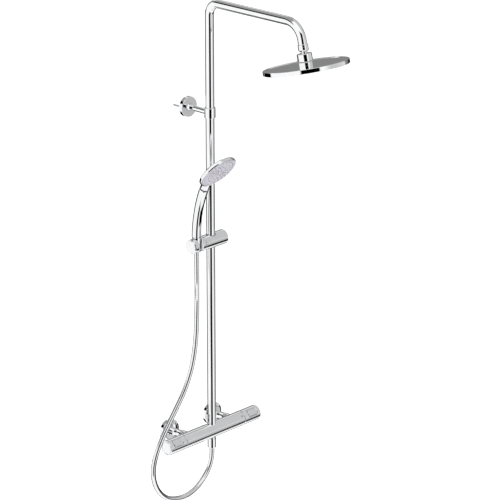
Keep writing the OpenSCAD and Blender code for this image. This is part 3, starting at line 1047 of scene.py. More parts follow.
@dataclass(frozen=True)
class HoseSkin(Finish):
    """Silver spiral under the clear skin of a shower hose."""

    def wire(self, w: Wiring, shader: bpy.types.Node) -> None:
        """Joins the spiral, which follows the hose's own length and turn, to the shader, painting the grooves
        between its turns darker as painted shade.

        Args:
            w: Wiring of the material.
            shader: Its Principled BSDF.
        """
        where = w.node("ShaderNodeUVMap", uv_map="hose_turns").outputs[0]
        split = w.node("ShaderNodeSeparateXYZ")
        w.feed(split.inputs[0], where)
        turn = w.math("ADD", split.outputs[0], split.outputs[1])
        strand = w.math("ABSOLUTE", w.math("SUBTRACT", w.math("FRACT", turn), 0.5))
        band = w.spread(strand, 0.05, 0.42, 0.0, 1.0, True)
        polish = w.group(Effect.POLISH, Scale=60.0, Low=0.05, High=0.1)
        shader.inputs["Metallic"].default_value = 1.0
        shader.inputs["Coat Roughness"].default_value = 0.04
        shader.inputs["Coat IOR"].default_value = 1.45
        w.feed(shader.inputs["Coat Weight"], w.spread(polish["Shade"], 0.0, 1.0, 0.8, 1.0))
        # Painted shade: the metal takes its deeper colour in the grooves between the spiral's turns, where
        # the bump is lowest.
        silver_with_groove_shade = w.blend(band, self.deep, self.light)
        w.feed(
            shader.inputs["Base Color"], w.blend(w.math("MULTIPLY", polish["Shade"], 0.2), silver_with_groove_shade, self.light)
        )
        w.feed(shader.inputs["Roughness"], w.math("ADD", polish["Roughness"], w.math("MULTIPLY", band, 0.05)))
        w.feed(shader.inputs["Normal"], w.bump(band, 0.08, 0.0002))


@dataclass(frozen=True)
class SprayFace(Finish):
    """Pale mauve plastic of a spray face, its tone changing slowly from place to place."""

    def wire(self, w: Wiring, shader: bpy.types.Node) -> None:
        """Joins the grain and the slow change of colour to the shader.

        Args:
            w: Wiring of the material.
            shader: Its Principled BSDF.
        """
        grain = w.group(Effect.GRAIN, Scale=700.0, Low=0.2, High=0.34)
        drops = w.group(Effect.DROPS, Scale=170.0, Amount=0.5)
        cloud = w.noise(28.0, 2.0)
        tone = w.math("ADD", w.math("MULTIPLY", grain["Shade"], 0.35), w.math("MULTIPLY", cloud, 0.65))
        colour = w.blend(tone, self.deep, self.light)
        w.feed(
            shader.inputs["Base Color"],
            w.blend(w.math("MULTIPLY", drops["Mask"], 0.35), colour, (0.90, 0.90, 0.90)),
        )
        w.feed(
            shader.inputs["Roughness"],
            w.math("ADD", grain["Roughness"], w.math("MULTIPLY", drops["Mask"], 0.2)),
        )
        w.feed(shader.inputs["Normal"], w.bump(grain["Height"], 0.08, 0.0002))


class Look(Enum):
    """The finishes of the shower column."""

    CHROME = Plated("bright_chrome", "chrome", (0.955, 0.96, 0.97), (0.90, 0.905, 0.915))
    CHROMED_PLASTIC = Plated(
        "chromed_plastic", "chrome_plastic", (0.94, 0.945, 0.955), (0.875, 0.88, 0.89), 45.0, 0.012, 0.04,
        0.012,
    )
    # The hose's deeper colour is painted shade for the grooves between the spiral's turns.
    HOSE = HoseSkin("silver_hose", "hose_steel", (0.95, 0.955, 0.965), (0.80, 0.81, 0.83))
    BRASS = Machined("turned_brass", "brass", (0.83, 0.66, 0.33), (0.70, 0.53, 0.24))
    STEEL = Machined("brushed_stainless", "steel", (0.72, 0.72, 0.73), (0.52, 0.52, 0.54))
    WHITE = Moulded("white_moulding", "white_plastic", (0.86, 0.86, 0.84), (0.78, 0.78, 0.76))
    GREY = Moulded("grey_moulding", "grey_plastic", (0.36, 0.365, 0.38), (0.29, 0.295, 0.31))
    PLATE = Moulded(
        "spray_plate_moulding", "grey_plastic", (0.46, 0.465, 0.48), (0.39, 0.395, 0.41), 0.25, 0.4, 1200.0,
        0.12, 0.6,
    )
    FACE = SprayFace("mauve_spray_face", "white_plastic", (0.62, 0.60, 0.65), (0.42, 0.405, 0.46))
    NOZZLE = Moulded(
        "silicone_nozzle", "nozzle_rubber", (0.42, 0.42, 0.46), (0.33, 0.33, 0.37), 0.35, 0.55, 1500.0, 0.1,
        0.4, 0.1,
    )
    RUBBER = Moulded(
        "black_rubber", "black_rubber", (0.030, 0.030, 0.033), (0.014, 0.014, 0.016), 0.4, 0.62, 1500.0, 0.16,
        0.35,
    )
    CERAMIC = Moulded(
        "polished_ceramic", "ceramic", (0.88, 0.88, 0.86), (0.82, 0.82, 0.80), 0.08, 0.16, 2200.0, 0.03, 0.6
    )


# ---- sub-assemblies ----


@dataclass
class Assembly:
    """A sub-assembly: it builds its pieces, dresses them and puts them on their bodies."""

    count: int = 0

    def add(self, piece: bpy.types.Object, look: Look, body: str, *nodes: str) -> bpy.types.Object:
        """Gives a piece its finish and its body, and hides the CAD nodes it stands for.

        Args:
            piece: The piece.
            look: Its finish.
            body: The CAD body it rides on.
            nodes: CAD nodes that it replaces.

        Returns:
            The piece.
        """
        piece.data.materials.clear()
        piece.data.materials.append(look.value.material())
        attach(piece, body)
        if nodes:
            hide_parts(*nodes)
        self.count += 1
        return piece

    def dress(self, look: Look, *nodes: str) -> None:
        """Gives CAD nodes that stay a finish.

        Args:
            look: The finish.
            nodes: The nodes.
        """
        for name in nodes:
            for holder in frame["nodes"][name].material_slots:
                holder.material = look.value.material()
            self.count += 1

    def build(self) -> None:
        """Builds the sub-assembly."""
        raise NotImplementedError


@dataclass
class Mixer(Assembly):
    """Thermostatic bar mixer with its two handles."""

    radius: float = 19.0
    chamber: float = 14.0
    chamber_start: float = 41.0
    boss_radius: float = 13.5
    inlet_offset: float = 75.0
    key: KeyOutline = KeyOutline()
    key_lift: float = 40.0
    key_middle: float = 130.0
    spring: Coil = Coil(3.0, 0.28, 4.1, 3, 2.4)
    spring_foot: float = 7.2
    axis: Vector = field(init=False)
    gap: float = field(init=False)
    body_end: float = field(init=False)
    handle_end: float = field(init=False)

    def build(self) -> None:
        """Builds the body, its bosses, the handles, caps and buttons."""
        self.axis = Place.joint("temperature_turn")[0]
        self.gap = -self.axis.y
        self.body_end = Place.high("mixer_body").x
        self.handle_end = Place.high("temperature_handle").x
        self.build_body()
        for side, name, key_name in ((1, "temperature", "temperature"), (-1, "flow", "eco")):
            self.build_handle(side, name, key_name)
        self.build_mark()
        self.dress(Look.WHITE, "thermostat_cartridge", "flow_cartridge", "check_valves")
        self.dress(Look.CERAMIC, "fixed_disc", "turning_disc")
        self.dress(Look.BRASS, "wax_element", "temperature_spindle", "flow_spindle")
        self.dress(Look.CHROME, "outlet_nipple")
        self.dress(Look.GREY, "handle_stop_rings")
        self.dress(Look.RUBBER, "sieve_washers")

    def along(self, side: int) -> Matrix:
        """Frame on the mixer's axis with +Z towards one end."""
        return stand((0, -self.gap, 0), (side, 0, 0), (0, 0, 1))

    def build_body(self) -> None:
        """Builds the fixed middle of the mixer and the two bosses that its nuts meet."""
        e, r, c, s = self.body_end, self.radius, self.chamber, self.chamber_start
        outline = [(-e, c), (-e, r, 1.1), (e, r, 1.1), (e, c), (s, c), (s, 5), (-s, 5), (-s, c)]
        body = turned("mixer_barrel", outline, self.along(1), True, 192)
        self.add(body, Look.CHROME, "root", "mixer_body")
        branch = Branch(r, self.boss_radius, 1.6)
        inner = self.gap + Place.high("mixer_body").y
        for side, word in ((-1, "left"), (1, "right")):
            at = stand((side * self.inlet_offset, -self.gap, 0), (0, 1, 0), (1, 0, 0))
            boss = [
                (21.5, 13.5), (24, 13.5, 0.7), (24, 10), (inner, 10, 0.4), (inner, 7.05), (23, 7.05), (23, 0)
            ]
            runs = branch.runs(boss, at)
            self.add(Shell(f"inlet_boss_{word}", runs).build(), Look.CHROME, "root")

    def build_handle(self, side: int, name: str, key_name: str) -> None:
        """Builds one handle with its cap and button.

        Args:
            side: 1 for the right end, -1 for the left.
            name: Name of the handle's body before _handle.
            key_name: Name of the button's body before _button.
        """
        at, r, end = self.along(side), self.radius, self.handle_end
        start = self.body_end + 0.6
        outline = [
            (end - 3, 0), (end - 3, 16.5), (end, 16.5, 0.3), (end, r, 1.4), (start, r, 1.1), (start, 15.5),
            (146, 15.5), (146, 7), (118, 7), (118, 4.02), (129.5, 4.02), (129.5, 0),
        ]
        handle = turned(f"{name}_grip", outline, at, False, 160, 1.6)
        lift = math.radians(self.key_lift)
        out = (0, -math.cos(lift), math.sin(lift))
        key_at = stand((side * self.key_middle, -self.gap, 0), out, (1, 0, 0))
        pocket = self.key.solid("pocket", [(0.5, 11.5), (0.5, 17.9), (1.2, 18.6), (2.2, 19.7)], key_at)
        cut(handle, pocket, [Barrel((0, -self.gap, 0), (1, 0, 0), r)])
        self.add(handle, Look.CHROME, f"{name}_handle", f"{name}_handle")
        wall = [(0, 11.6), (0, 18.5, 1), (0, 18.9), (-0.25, 19.5), (-0.8, 19.95), (-1.5, 20.1)]
        key = self.key.solid(f"{key_name}_key", wall, key_at)
        self.add(key, Look.CHROMED_PLASTIC, f"{key_name}_button", f"{key_name}_button")
        foot = key_at @ Matrix.Translation((0, 0, self.spring_foot))
        spring = self.spring.build(f"{key_name}_spring", foot)
        self.add(spring, Look.STEEL, f"{name}_handle", f"{key_name}_button_spring")
        self.spring.flatten(spring, f"{key_name}_button_press", foot)
        cap = [
            (end - 2.9, 0), (end - 2.9, 16.35), (end - 1.6, 16.35, 0.1), (end - 1.6, 15.3, 0.1),
            (end + 0.1, 15.0, 0.8), (end - 0.3, 0),
        ]
        self.add(turned(f"{name}_cap", cap, at, False, 144), Look.CHROME, f"{name}_handle", f"{name}_end_cap")

    def build_mark(self) -> None:
        """Builds the small ring and dot on the body that the right handle is set by."""
        out = (0, -math.cos(math.radians(38)), math.sin(math.radians(38)))
        at = stand((self.body_end - 8, -self.gap, 0), out, (1, 0, 0))
        r = self.radius
        ring = [(r - 0.6, 1.9), (r + 0.22, 1.9, 0.1), (r + 0.22, 2.9, 0.1), (r - 0.6, 2.9)]
        self.add(turned("setting_ring", ring, at, True, 48), Look.STEEL, "root")
        dot = [(r - 0.6, 0), (r - 0.6, 1.1), (r + 0.3, 1.1, 0.3), (r + 0.35, 0)]
        self.add(turned("setting_dot", dot, at, False, 32), Look.RUBBER, "root")


@dataclass
class Inlets(Assembly):
    """Wall unions with their rosettes and union nuts."""

    thread_radius: float = 10.48
    thread_pitch: float = 1.814
    thread_depth: float = 0.75
    thread_length: float = 16.0
    reach: float = 46.0

    def build(self) -> None:
        """Builds both inlets."""
        for word in ("left", "right"):
            x = Place.middle(f"wall_union_{word}").x
            at = stand((x, 0, 0), (0, -1, 0), (1, 0, 0))
            self.build_union(word, at)
            r = (Place.high(f"union_rosette_{word}").x - Place.low(f"union_rosette_{word}").x) / 2
            rosette = [
                (0.3, r - 1.5), (0.3, r, 0.2), (11, r, 3.2), (14, r - 7, 6), (14, 10.6, 0.4), (12.5, 10.6),
                (12.5, r - 8, 3), (9, r - 1.5, 1),
            ]
            piece = turned(f"inlet_rosette_{word}", rosette, at, True, 144)
            self.add(piece, Look.CHROME, "root", f"union_rosette_{word}")
            nut = [
                (13.2, 8.45), (13.2, 10.1, 0.3), (25, 10.35, 30), (38, 11.1, 30), (51, 13.5, 3), (
                    55.7, 13.5, 0.5
                ),
                (55.7, 10.05), (46, 10.05), (46, 9.35), (38.9, 9.35), (38.9, 8.45),
            ]
            piece = turned(f"union_nut_{word}", nut, at, True, 120)
            self.add(piece, Look.CHROME, "root", f"union_nut_{word}")

    def build_union(self, word: str, at: Matrix) -> None:
        """Builds a wall union with its pipe thread and hexagon.

        Args:
            word: left or right.
            at: Frame at the wall with +Z towards the user.
        """
        n = 96
        a = np.linspace(0, 2 * math.pi, n, endpoint=False)
        ring = np.stack([np.cos(a), np.sin(a)], axis=1)

        def rows(radii: np.ndarray, heights: np.ndarray) -> np.ndarray:
            """Places rings of the union from their radii and heights."""
            return carry(np.dstack([radii * ring[:, 0], radii * ring[:, 1], heights * np.ones(n)]), at)

        z = np.arange(-self.thread_length, -0.6, self.thread_pitch / 10)[:, None]
        phase = (z / self.thread_pitch - a[None] / (2 * math.pi)) % 1.0
        fade = np.clip(np.minimum((z + self.thread_length) / 1.5, (-0.6 - z) / 1.2), 0, 1)
        tooth = np.abs(phase - 0.5) * 2
        taper = np.clip((z + self.thread_length) / 1.2, 0, 1)
        radii = self.thread_radius - self.thread_depth * (1 - tooth) * fade - 1.1 * (1 - taper)
        thread = rows(radii, z)
        hexagon = 15 * math.cos(math.pi / 6) / np.cos((a + math.pi / 6) % (math.pi / 3) - math.pi / 6)
        flat, neck = np.minimum(hexagon, 14.1), np.full(n, 8.4)
        bore = np.full(n, 6.0)

        def run(*steps: tuple[np.ndarray, float]) -> np.ndarray:
            """Makes a run from pairs of a ring's radii and its height."""
            return rows(np.array([s[0] for s in steps]), np.array([[s[1]] for s in steps]))

        plain = np.full(n, self.thread_radius)
        runs = [
            run((bore, -self.thread_length), (radii[0], -self.thread_length)),
            thread,
            run((radii[-1], float(z[-1, 0])), (plain, 0.0)),
            run((plain, 0.0), (flat, 0.0)),
            run((flat, 0.0), (hexagon, 0.9)),
            run((hexagon, 0.9), (hexagon, 6.1)),
            run((hexagon, 6.1), (flat, 7.0)),
            run((flat, 7.0), (neck, 7.0)),
            run((neck, 7.0), (neck, 38.9)),
            run((neck, 38.9), (neck + 0.9, 38.9)),
            run((neck + 0.9, 38.9), (neck + 0.9, self.reach)),
            run((neck + 0.9, self.reach), (bore, self.reach)),
            run((bore, self.reach), (bore, -self.thread_length)),
        ]
        self.add(
            Shell(f"wall_union_{word}_threaded", runs, True).build(), Look.BRASS, "root", f"wall_union_{word}"
        )


@dataclass
class Riser(Assembly):
    """Riser, wall bracket and the swivelling arm."""

    tube_radius: float = 10.5
    bore: float = 9.3
    corner: float = 30.0
    drop_bend: float = 48.0
    drop_turn: float = 77.0
    drop_end: float = 10.0
    line: Vector = field(init=False)

    def build(self) -> None:
        """Builds the tubes, the bracket and the wall plate."""
        self.line = Place.joint("arm_swivel")[0]
        low, high = Place.low("lower_riser").z, Place.high("lower_riser").z
        at = stand((self.line.x, self.line.y, 0), (0, 0, 1), (1, 0, 0))
        tube = [(low, self.bore), (low, self.tube_radius), (high, self.tube_radius, 0.25), (high, self.bore)]
        self.add(turned("riser_tube", tube, at, True, 128), Look.CHROME, "root", "lower_riser")
        self.build_arm()
        self.build_bracket()
        self.dress(Look.WHITE, "riser_joint_sleeve")

    def arm_path(self) -> np.ndarray:
        """Works out the arm's centreline from the bracket to its end.

        Returns:
            Points from the foot to the end.
        """
        foot, top = Place.low("upper_riser_arm").z, Place.high("upper_riser_arm").z - self.tube_radius
        y, r = self.line.y, self.corner
        drop, _ = Place.joint("head_spin")
        turn, bend = math.radians(self.drop_turn), self.drop_bend
        tilt = math.pi / 2 - turn
        end_y = drop.y + 30 * -math.sin(tilt) + 30 * 2 * math.sin(tilt)
        start_y = end_y + bend * math.sin(turn) + self.drop_end * math.sin(tilt)
        points = [(0, y, foot), (0, y, foot + 3), (0, y, top - r - 2)]
        points += [
            (0, y - r + r * math.cos(t), top - r + r * math.sin(t))
            for t in np.linspace(0, math.pi / 2, 25)
        ]
        points += [(0, y - r - 2, top), (0, start_y + 2, top)]
        points += [
            (0, start_y - bend * math.sin(t), top - bend + bend * math.cos(t)) for t in np.linspace(
                0, turn, 33
            )
        ]
        last = np.array(points[-1])
        down = np.array([0, -math.sin(tilt), -math.cos(tilt)])
        points += [tuple(last + down * 2), tuple(last + down * (self.drop_end + 12))]
        return np.array(points)

    def build_arm(self) -> None:
        """Builds the arm as one bent tube."""
        path = self.arm_path()
        ones = np.ones(len(path))
        outer = tube_rings(path, (1, 0, 0), circle(128), ones * self.tube_radius)
        inner = tube_rings(path, (1, 0, 0), circle(128), ones * self.bore)[::-1]
        runs = [outer, np.array([outer[-1], inner[0]]), inner, np.array([inner[-1], outer[0]])]
        self.add(Shell("arm_tube", runs, True).build(), Look.CHROME, "arm", "upper_riser_arm")

    def build_bracket(self) -> None:
        """Builds the bracket's collar, stem and rosette, and dresses the plate behind it."""
        z, gap = self.line.z, -self.line.y
        half = (Place.high("wall_bracket").z - Place.low("wall_bracket").z) / 2
        r = Place.high("wall_bracket").x
        at = stand(tuple(self.line), (0, 0, 1), (1, 0, 0))
        collar = [(-half, 10.55), (-half, r, 1.5), (half, r, 1.5), (half, 10.55)]
        self.add(turned("bracket_collar", collar, at, True, 128), Look.CHROME, "root", "wall_bracket")
        stem_at = stand(tuple(self.line), (0, 1, 0), (0, 0, 1))
        stem = [(16, 6.5), (gap - 22, 6.5, 9), (gap - 16, 6.5, 6), (gap - 10.2, 8.9, 0.4), (gap - 10.2, 0)]
        piece = Shell("bracket_stem", Branch(r, 6.5, 1.8).runs(stem, stem_at)).build()
        self.add(piece, Look.CHROME, "root")
        wall = stand((0, 0, z), (0, -1, 0), (1, 0, 0))
        rosette = [
            (0.3, 23.5), (0.3, 25, 0.2), (11, 25, 1.8), (11, 9.1, 0.3), (9.5, 9.1), (9.5, 23, 0.5), (1, 23.5),
        ]
        self.add(
            turned("bracket_rosette_shell", rosette, wall, True, 144), Look.CHROME, "root", "bracket_rosette"
        )
        self.dress(Look.STEEL, "wall_plate")
        self.build_screws(z)

    def build_screws(self, z: float) -> None:
        """Builds the two wall screws with their threads.

        Args:
            z: Height of the bracket.
        """
        n, pitch = 32, 2.0
        a = np.linspace(0, 2 * math.pi, n, endpoint=False)
        rows = np.arange(-33.5, -0.5, pitch / 8)[:, None]
        phase = (rows / pitch - a[None] / (2 * math.pi)) % 1.0
        ridge = np.clip(1 - np.abs(phase - 0.5) * 5, 0, 1)
        body = np.interp(rows, [-33.5, -27, -0.5], [0.4, 1.75, 1.75])
        fade = np.clip((-1.5 - rows) / 2, 0, 1) * np.clip((rows + 33.5) / 6, 0.15, 1)
        radii = body + 0.62 * ridge * fade
        thread = np.dstack([radii * np.cos(a), radii * np.sin(a), rows * np.ones(n)])
        neck, head = [(-0.5, 1.75), (2.3, 2.38, 0.2), (4.2, 4.35, 0.2), (4.8, 4.35, 0.4), (4.8, 2.2)], [
            (4.8, 2.2), (3.4, 2.0), (3.4, 0)
        ]
        flat = stand((0, 0, 0), (0, 0, 1))
        runs = [thread, np.array([thread[-1], spun(np.array([[-0.5, 1.75]]), flat, n)[0]])]
        runs += [spun(r, flat, n) for r in outline_runs(neck)] + [
            spun(r, flat, n)
            for r in outline_runs(head)
        ]
        unit = Shell("screw", runs).build()
        spots = [stand((x, 0, z), (0, -1, 0), (1, 0, 0)) for x in (-14, 14)]
        self.add(scatter("bracket_screws", unit, spots), Look.STEEL, "root", "wall_screws")


def nozzle_spots(rings: int, pitch: float, at: Matrix, height: float) -> list[Matrix]:
    """Works out where a spray face's nozzles stand.

    Args:
        rings: Rings of nozzles, with six more in each.
        pitch: Distance between rings.
        at: Frame of the face.
        height: Height of the nozzles' feet in that frame.

    Returns:
        A frame for each nozzle.
    """
    spots = []
    for n in range(1, rings + 1):
        for k in range(6 * n):
            a = math.radians(60 * k / n + 7 * n)
            spots.append(at @ Matrix.Translation((n * pitch * math.cos(a), n * pitch * math.sin(a), height)))
    return spots


@dataclass
class RainHead(Assembly):
    """Rain head with its ball joint."""

    radius: float = 100.0
    rim: float = 10.0
    top: float = -46.5
    collar_radius: float = 17.5
    rings: int = 5
    pitch: float = 18.0

    def build(self) -> None:
        """Builds the nut, ball, collar, shell and nozzles."""
        ball, axis = Place.joint("head_spin")
        at = stand(tuple(ball + axis * 30), tuple(axis), (1, 0, 0))
        nut = [
            (-17, 6.95), (-17, 9, 0.3), (-15, 11, 1), (-12.5, 12, 0.6), (-6.6, 12, 0.15), (-6.2, 11.6, 0.15),
            (-5.8, 12, 0.15), (-0.8, 12, 0.3), (0, 11.4, 0.3), (0, 10.53), (-12, 10.53), (-12, 6.95),
        ]
        self.add(turned("arm_end_nut", nut, at, True, 112), Look.CHROME, "arm", "arm_nut")
        a0 = math.asin(6.9 / 9)
        sphere = [
            (-30 - 9 * math.cos(t), 9 * math.sin(t))
            for t in np.linspace(math.asin(4 / 9), math.pi - a0, 40)
        ]
        runs = [
            np.array(sphere),
            np.array([sphere[-1], (-12.2, 6.9)]),
            np.array([(-12.2, 6.9), (-12.2, 4)]),
            np.array([(-12.2, 4), sphere[0]]),
        ]
        ball_piece = Shell("joint_ball", [spun(r, at, 96) for r in runs], True).build()
        self.add(ball_piece, Look.CHROME, "arm", "swivel_ball")
        self.dress(Look.WHITE, "ball_seat")
        r = self.collar_radius
        collar = [
            (-20.5, 9.6), (-20.5, r, 1.8), (-48, r, 0.15), (-48, 11.02), (-43, 11.02), (-43, 8), (-37, 8),
            (-38.5, 12), (-28, 12.05), (-22.5, 9.6),
        ]
        self.add(turned("head_collar_sleeve", collar, at, True, 128), Look.CHROME, "rain_head", "head_collar")
        self.build_shell(at)
        self.dress(Look.PLATE, "head_spray_plate")
        self.dress(Look.RUBBER, "head_gasket")
        self.build_nozzles(at)

    def build_shell(self, at: Matrix) -> None:
        """Builds the thin round shell with its raised lip.

        Args:
            at: Frame of the arm's end.
        """
        r, top, foot = self.radius, self.top, self.top - self.rim
        shell = [
            (top - 3.5, 7), (top + 3.4, 7), (top + 3.4, 11, 0.2), (top - 1.5, 11.2, 0.2), (
                top - 1.5, r - 4.6, 0.8
            ),
            (top, r - 3, 0.8), (top, r, 1.1), (foot, r, 0.8), (foot, r - 2.4), (top - 3.5, r - 2.4),
        ]
        self.add(turned("head_shell_disc", shell, at, True, 240), Look.CHROME, "rain_head", "head_shell")

    def build_nozzles(self, at: Matrix) -> None:
        """Builds the soft mat and its nozzles.

        Args:
            at: Frame of the arm's end.
        """
        foot = self.top - self.rim
        flat = stand((0, 0, 0), (0, 0, -1))
        tip = [
            (-2.9, 0), (-2.9, 1.75), (-0.2, 1.75, 0.15), (0.2, 1.75, 0.3), (1.5, 1.2, 0.25), (
                1.8, 0.95, 0.15
            ),
            (1.8, 0.5, 0.1), (0.6, 0.42), (0.6, 0),
        ]
        unit = turned("nozzle", tip, flat, False, 20)
        spots = nozzle_spots(self.rings, self.pitch, at, foot)
        piece = scatter("head_nozzles", unit, spots)
        self.add(piece, Look.NOZZLE, "rain_head", "head_nozzle_mat")
        mat = [
            (foot + 1.75, 0), (foot + 1.75, self.radius - 8, 0.2), (foot + 2.9, self.radius - 8, 0.2),
            (foot + 2.9, 0),
        ]
        self.add(turned("nozzle_mat", mat, at, False, 96), Look.NOZZLE, "rain_head")


@dataclass
class Slider(Assembly):
    """Slider on the riser and the fork that holds the hand shower."""

    radius: float = 18.0
    bore: float = 12.45
    offset: float = 48.0
    spring: Coil = Coil(6.0, 0.55, 12.0, 5, 3.0)
    spring_foot: float = 26.2
    middle: Vector = field(init=False)
    at: Matrix = field(init=False)

    def build(self) -> None:
        """Builds the slider, its button, the fork and its cap."""
        self.middle = Place.joint("slider_swivel")[0]
        self.at = stand(tuple(self.middle), (1, 0, 0), (0, 0, 1))
        self.build_body()
        self.build_fork()
        up = stand(tuple(self.middle), (0, 0, 1), (1, 0, 0))
        bush = [(-15.5, 10.55), (-15.5, 12.4, 0.3), (15.5, 12.4, 0.3), (15.5, 10.55)]
        self.add(turned("slider_lining", bush, up, True, 96), Look.GREY, "slider_bush", "slider_bush")
        button = [
            (22, 0), (22, 4), (38.5, 4), (38.5, 15, 0.5), (43.1, 15, 0.6), (44.6, 13.4, 1.5), (45.7, 9.4, 8),
            (46.4, 0),
        ]
        self.add(
            turned("clamp_button", button, self.at, False, 120), Look.CHROMED_PLASTIC, "slider_button",
            "slider_button",
        )
        foot = self.at @ Matrix.Translation((0, 0, self.spring_foot))
        spring = self.spring.build("clamp_spring", foot)
        self.add(spring, Look.STEEL, "slider", "slider_button_spring")
        self.spring.flatten(spring, "slider_button_press", foot)
        self.dress(Look.STEEL, "holder_pin")

    def vertical_tool(self, low: float, high: float, grow: float, x: float) -> bpy.types.Object:
        """Makes a cutter for the riser's or the hand shower's hole, opened out where it leaves the bar.

        Args:
            low: Radius at its foot.
            high: Radius at its top.
            grow: How far it opens out.
            x: Distance of its axis from the riser.

        Returns:
            The cutter.
        """
        at = stand((x, self.middle.y, self.middle.z), (0, 0, 1), (1, 0, 0))
        outline = [(-20, 0), (-20, low + grow), (-17, low + 0.02), (17, high), (20, high + grow), (20, 0)]
        return turned("tool", outline, at, False, 96)

    def build_body(self) -> None:
        """Builds the slider's bar with the hole for the riser."""
        r = self.radius
        outline = [
            (34.5, 0), (34.5, 15.3), (43, 15.3, 0.3), (43, r, 1.0), (-30, r, 0.5), (-30, 0),
        ]
        bar = turned("slider_bar", outline, self.at, False, 144, 1.6)
        cut(bar, self.vertical_tool(self.bore, self.bore, 0.6, 0), [self.barrel(), self.hole(0, self.bore)])
        self.add(bar, Look.CHROMED_PLASTIC, "slider", "slider_body")

    def barrel(self) -> Barrel:
        """The bar's own round surface."""
        return Barrel((0, self.middle.y, self.middle.z), (1, 0, 0), self.radius)

    def hole(self, x: float, radius: float) -> Barrel:
        """A vertical hole's round surface."""
        return Barrel((x, self.middle.y, 0), (0, 0, 1), radius)

    def build_fork(self) -> None:
        """Builds the fork with its cone and slot, and the cap on its end."""
        r, x = self.radius, -self.offset
        left, right = Place.low("holder_fork").x, Place.high("holder_fork").x
        outline = [(left, 0), (left, r, 0.5), (right, r, 0.6), (right, 5.05), (-35.1, 5.05), (-35.1, 0)]
        fork = turned("holder_fork_bar", outline, self.at, False, 144, 1.4)
        cut(fork, self.vertical_tool(9.65, 11.95, 0.5, x), [self.barrel()])
        slot = [(-16, 0), (-16, 7.2, 0), (16, 7.2, 0), (16, 0)]
        cut(fork, self.slot_tool(x, slot[1][1]), [self.barrel()])
        self.add(fork, Look.CHROMED_PLASTIC, "holder", "holder_fork")
        cap = [(left - 3, 0), (left - 3, 16.5, 1.0), (left, 16.5), (left, 0)]
        self.add(
            turned("holder_cap", cap, self.at, False, 120), Look.CHROMED_PLASTIC, "holder", "holder_end_cap"
        )

    def slot_tool(self, x: float, half: float) -> bpy.types.Object:
        """Makes the cutter for the fork's open front, with its edges eased.

        Args:
            x: Middle of the slot.
            half: Half its width.

        Returns:
            The cutter.
        """
        y, z = self.middle.y, self.middle.z
        rings = []
        for depth, width in ((0.5, half), (-15.0, half), (-17.2, half + 0.5), (-19.5, half + 2.2)):
            corners = [
                (x - width, y + depth, z - 25), (x + width, y + depth, z - 25),
                (x + width, y + depth, z + 25), (x - width, y + depth, z + 25),
            ]
            rings.append(corners)
        points = np.array(rings, float).reshape(-1, 3)
        faces = [(3, 2, 1, 0), tuple(range(12, 16))]
        for i in range(3):
            for j in range(4):
                k = (j + 1) % 4
                faces.append((4 * i + j, 4 * i + k, 4 * i + 4 + k, 4 * i + 4 + j))
        return new_object("tool", points, faces)


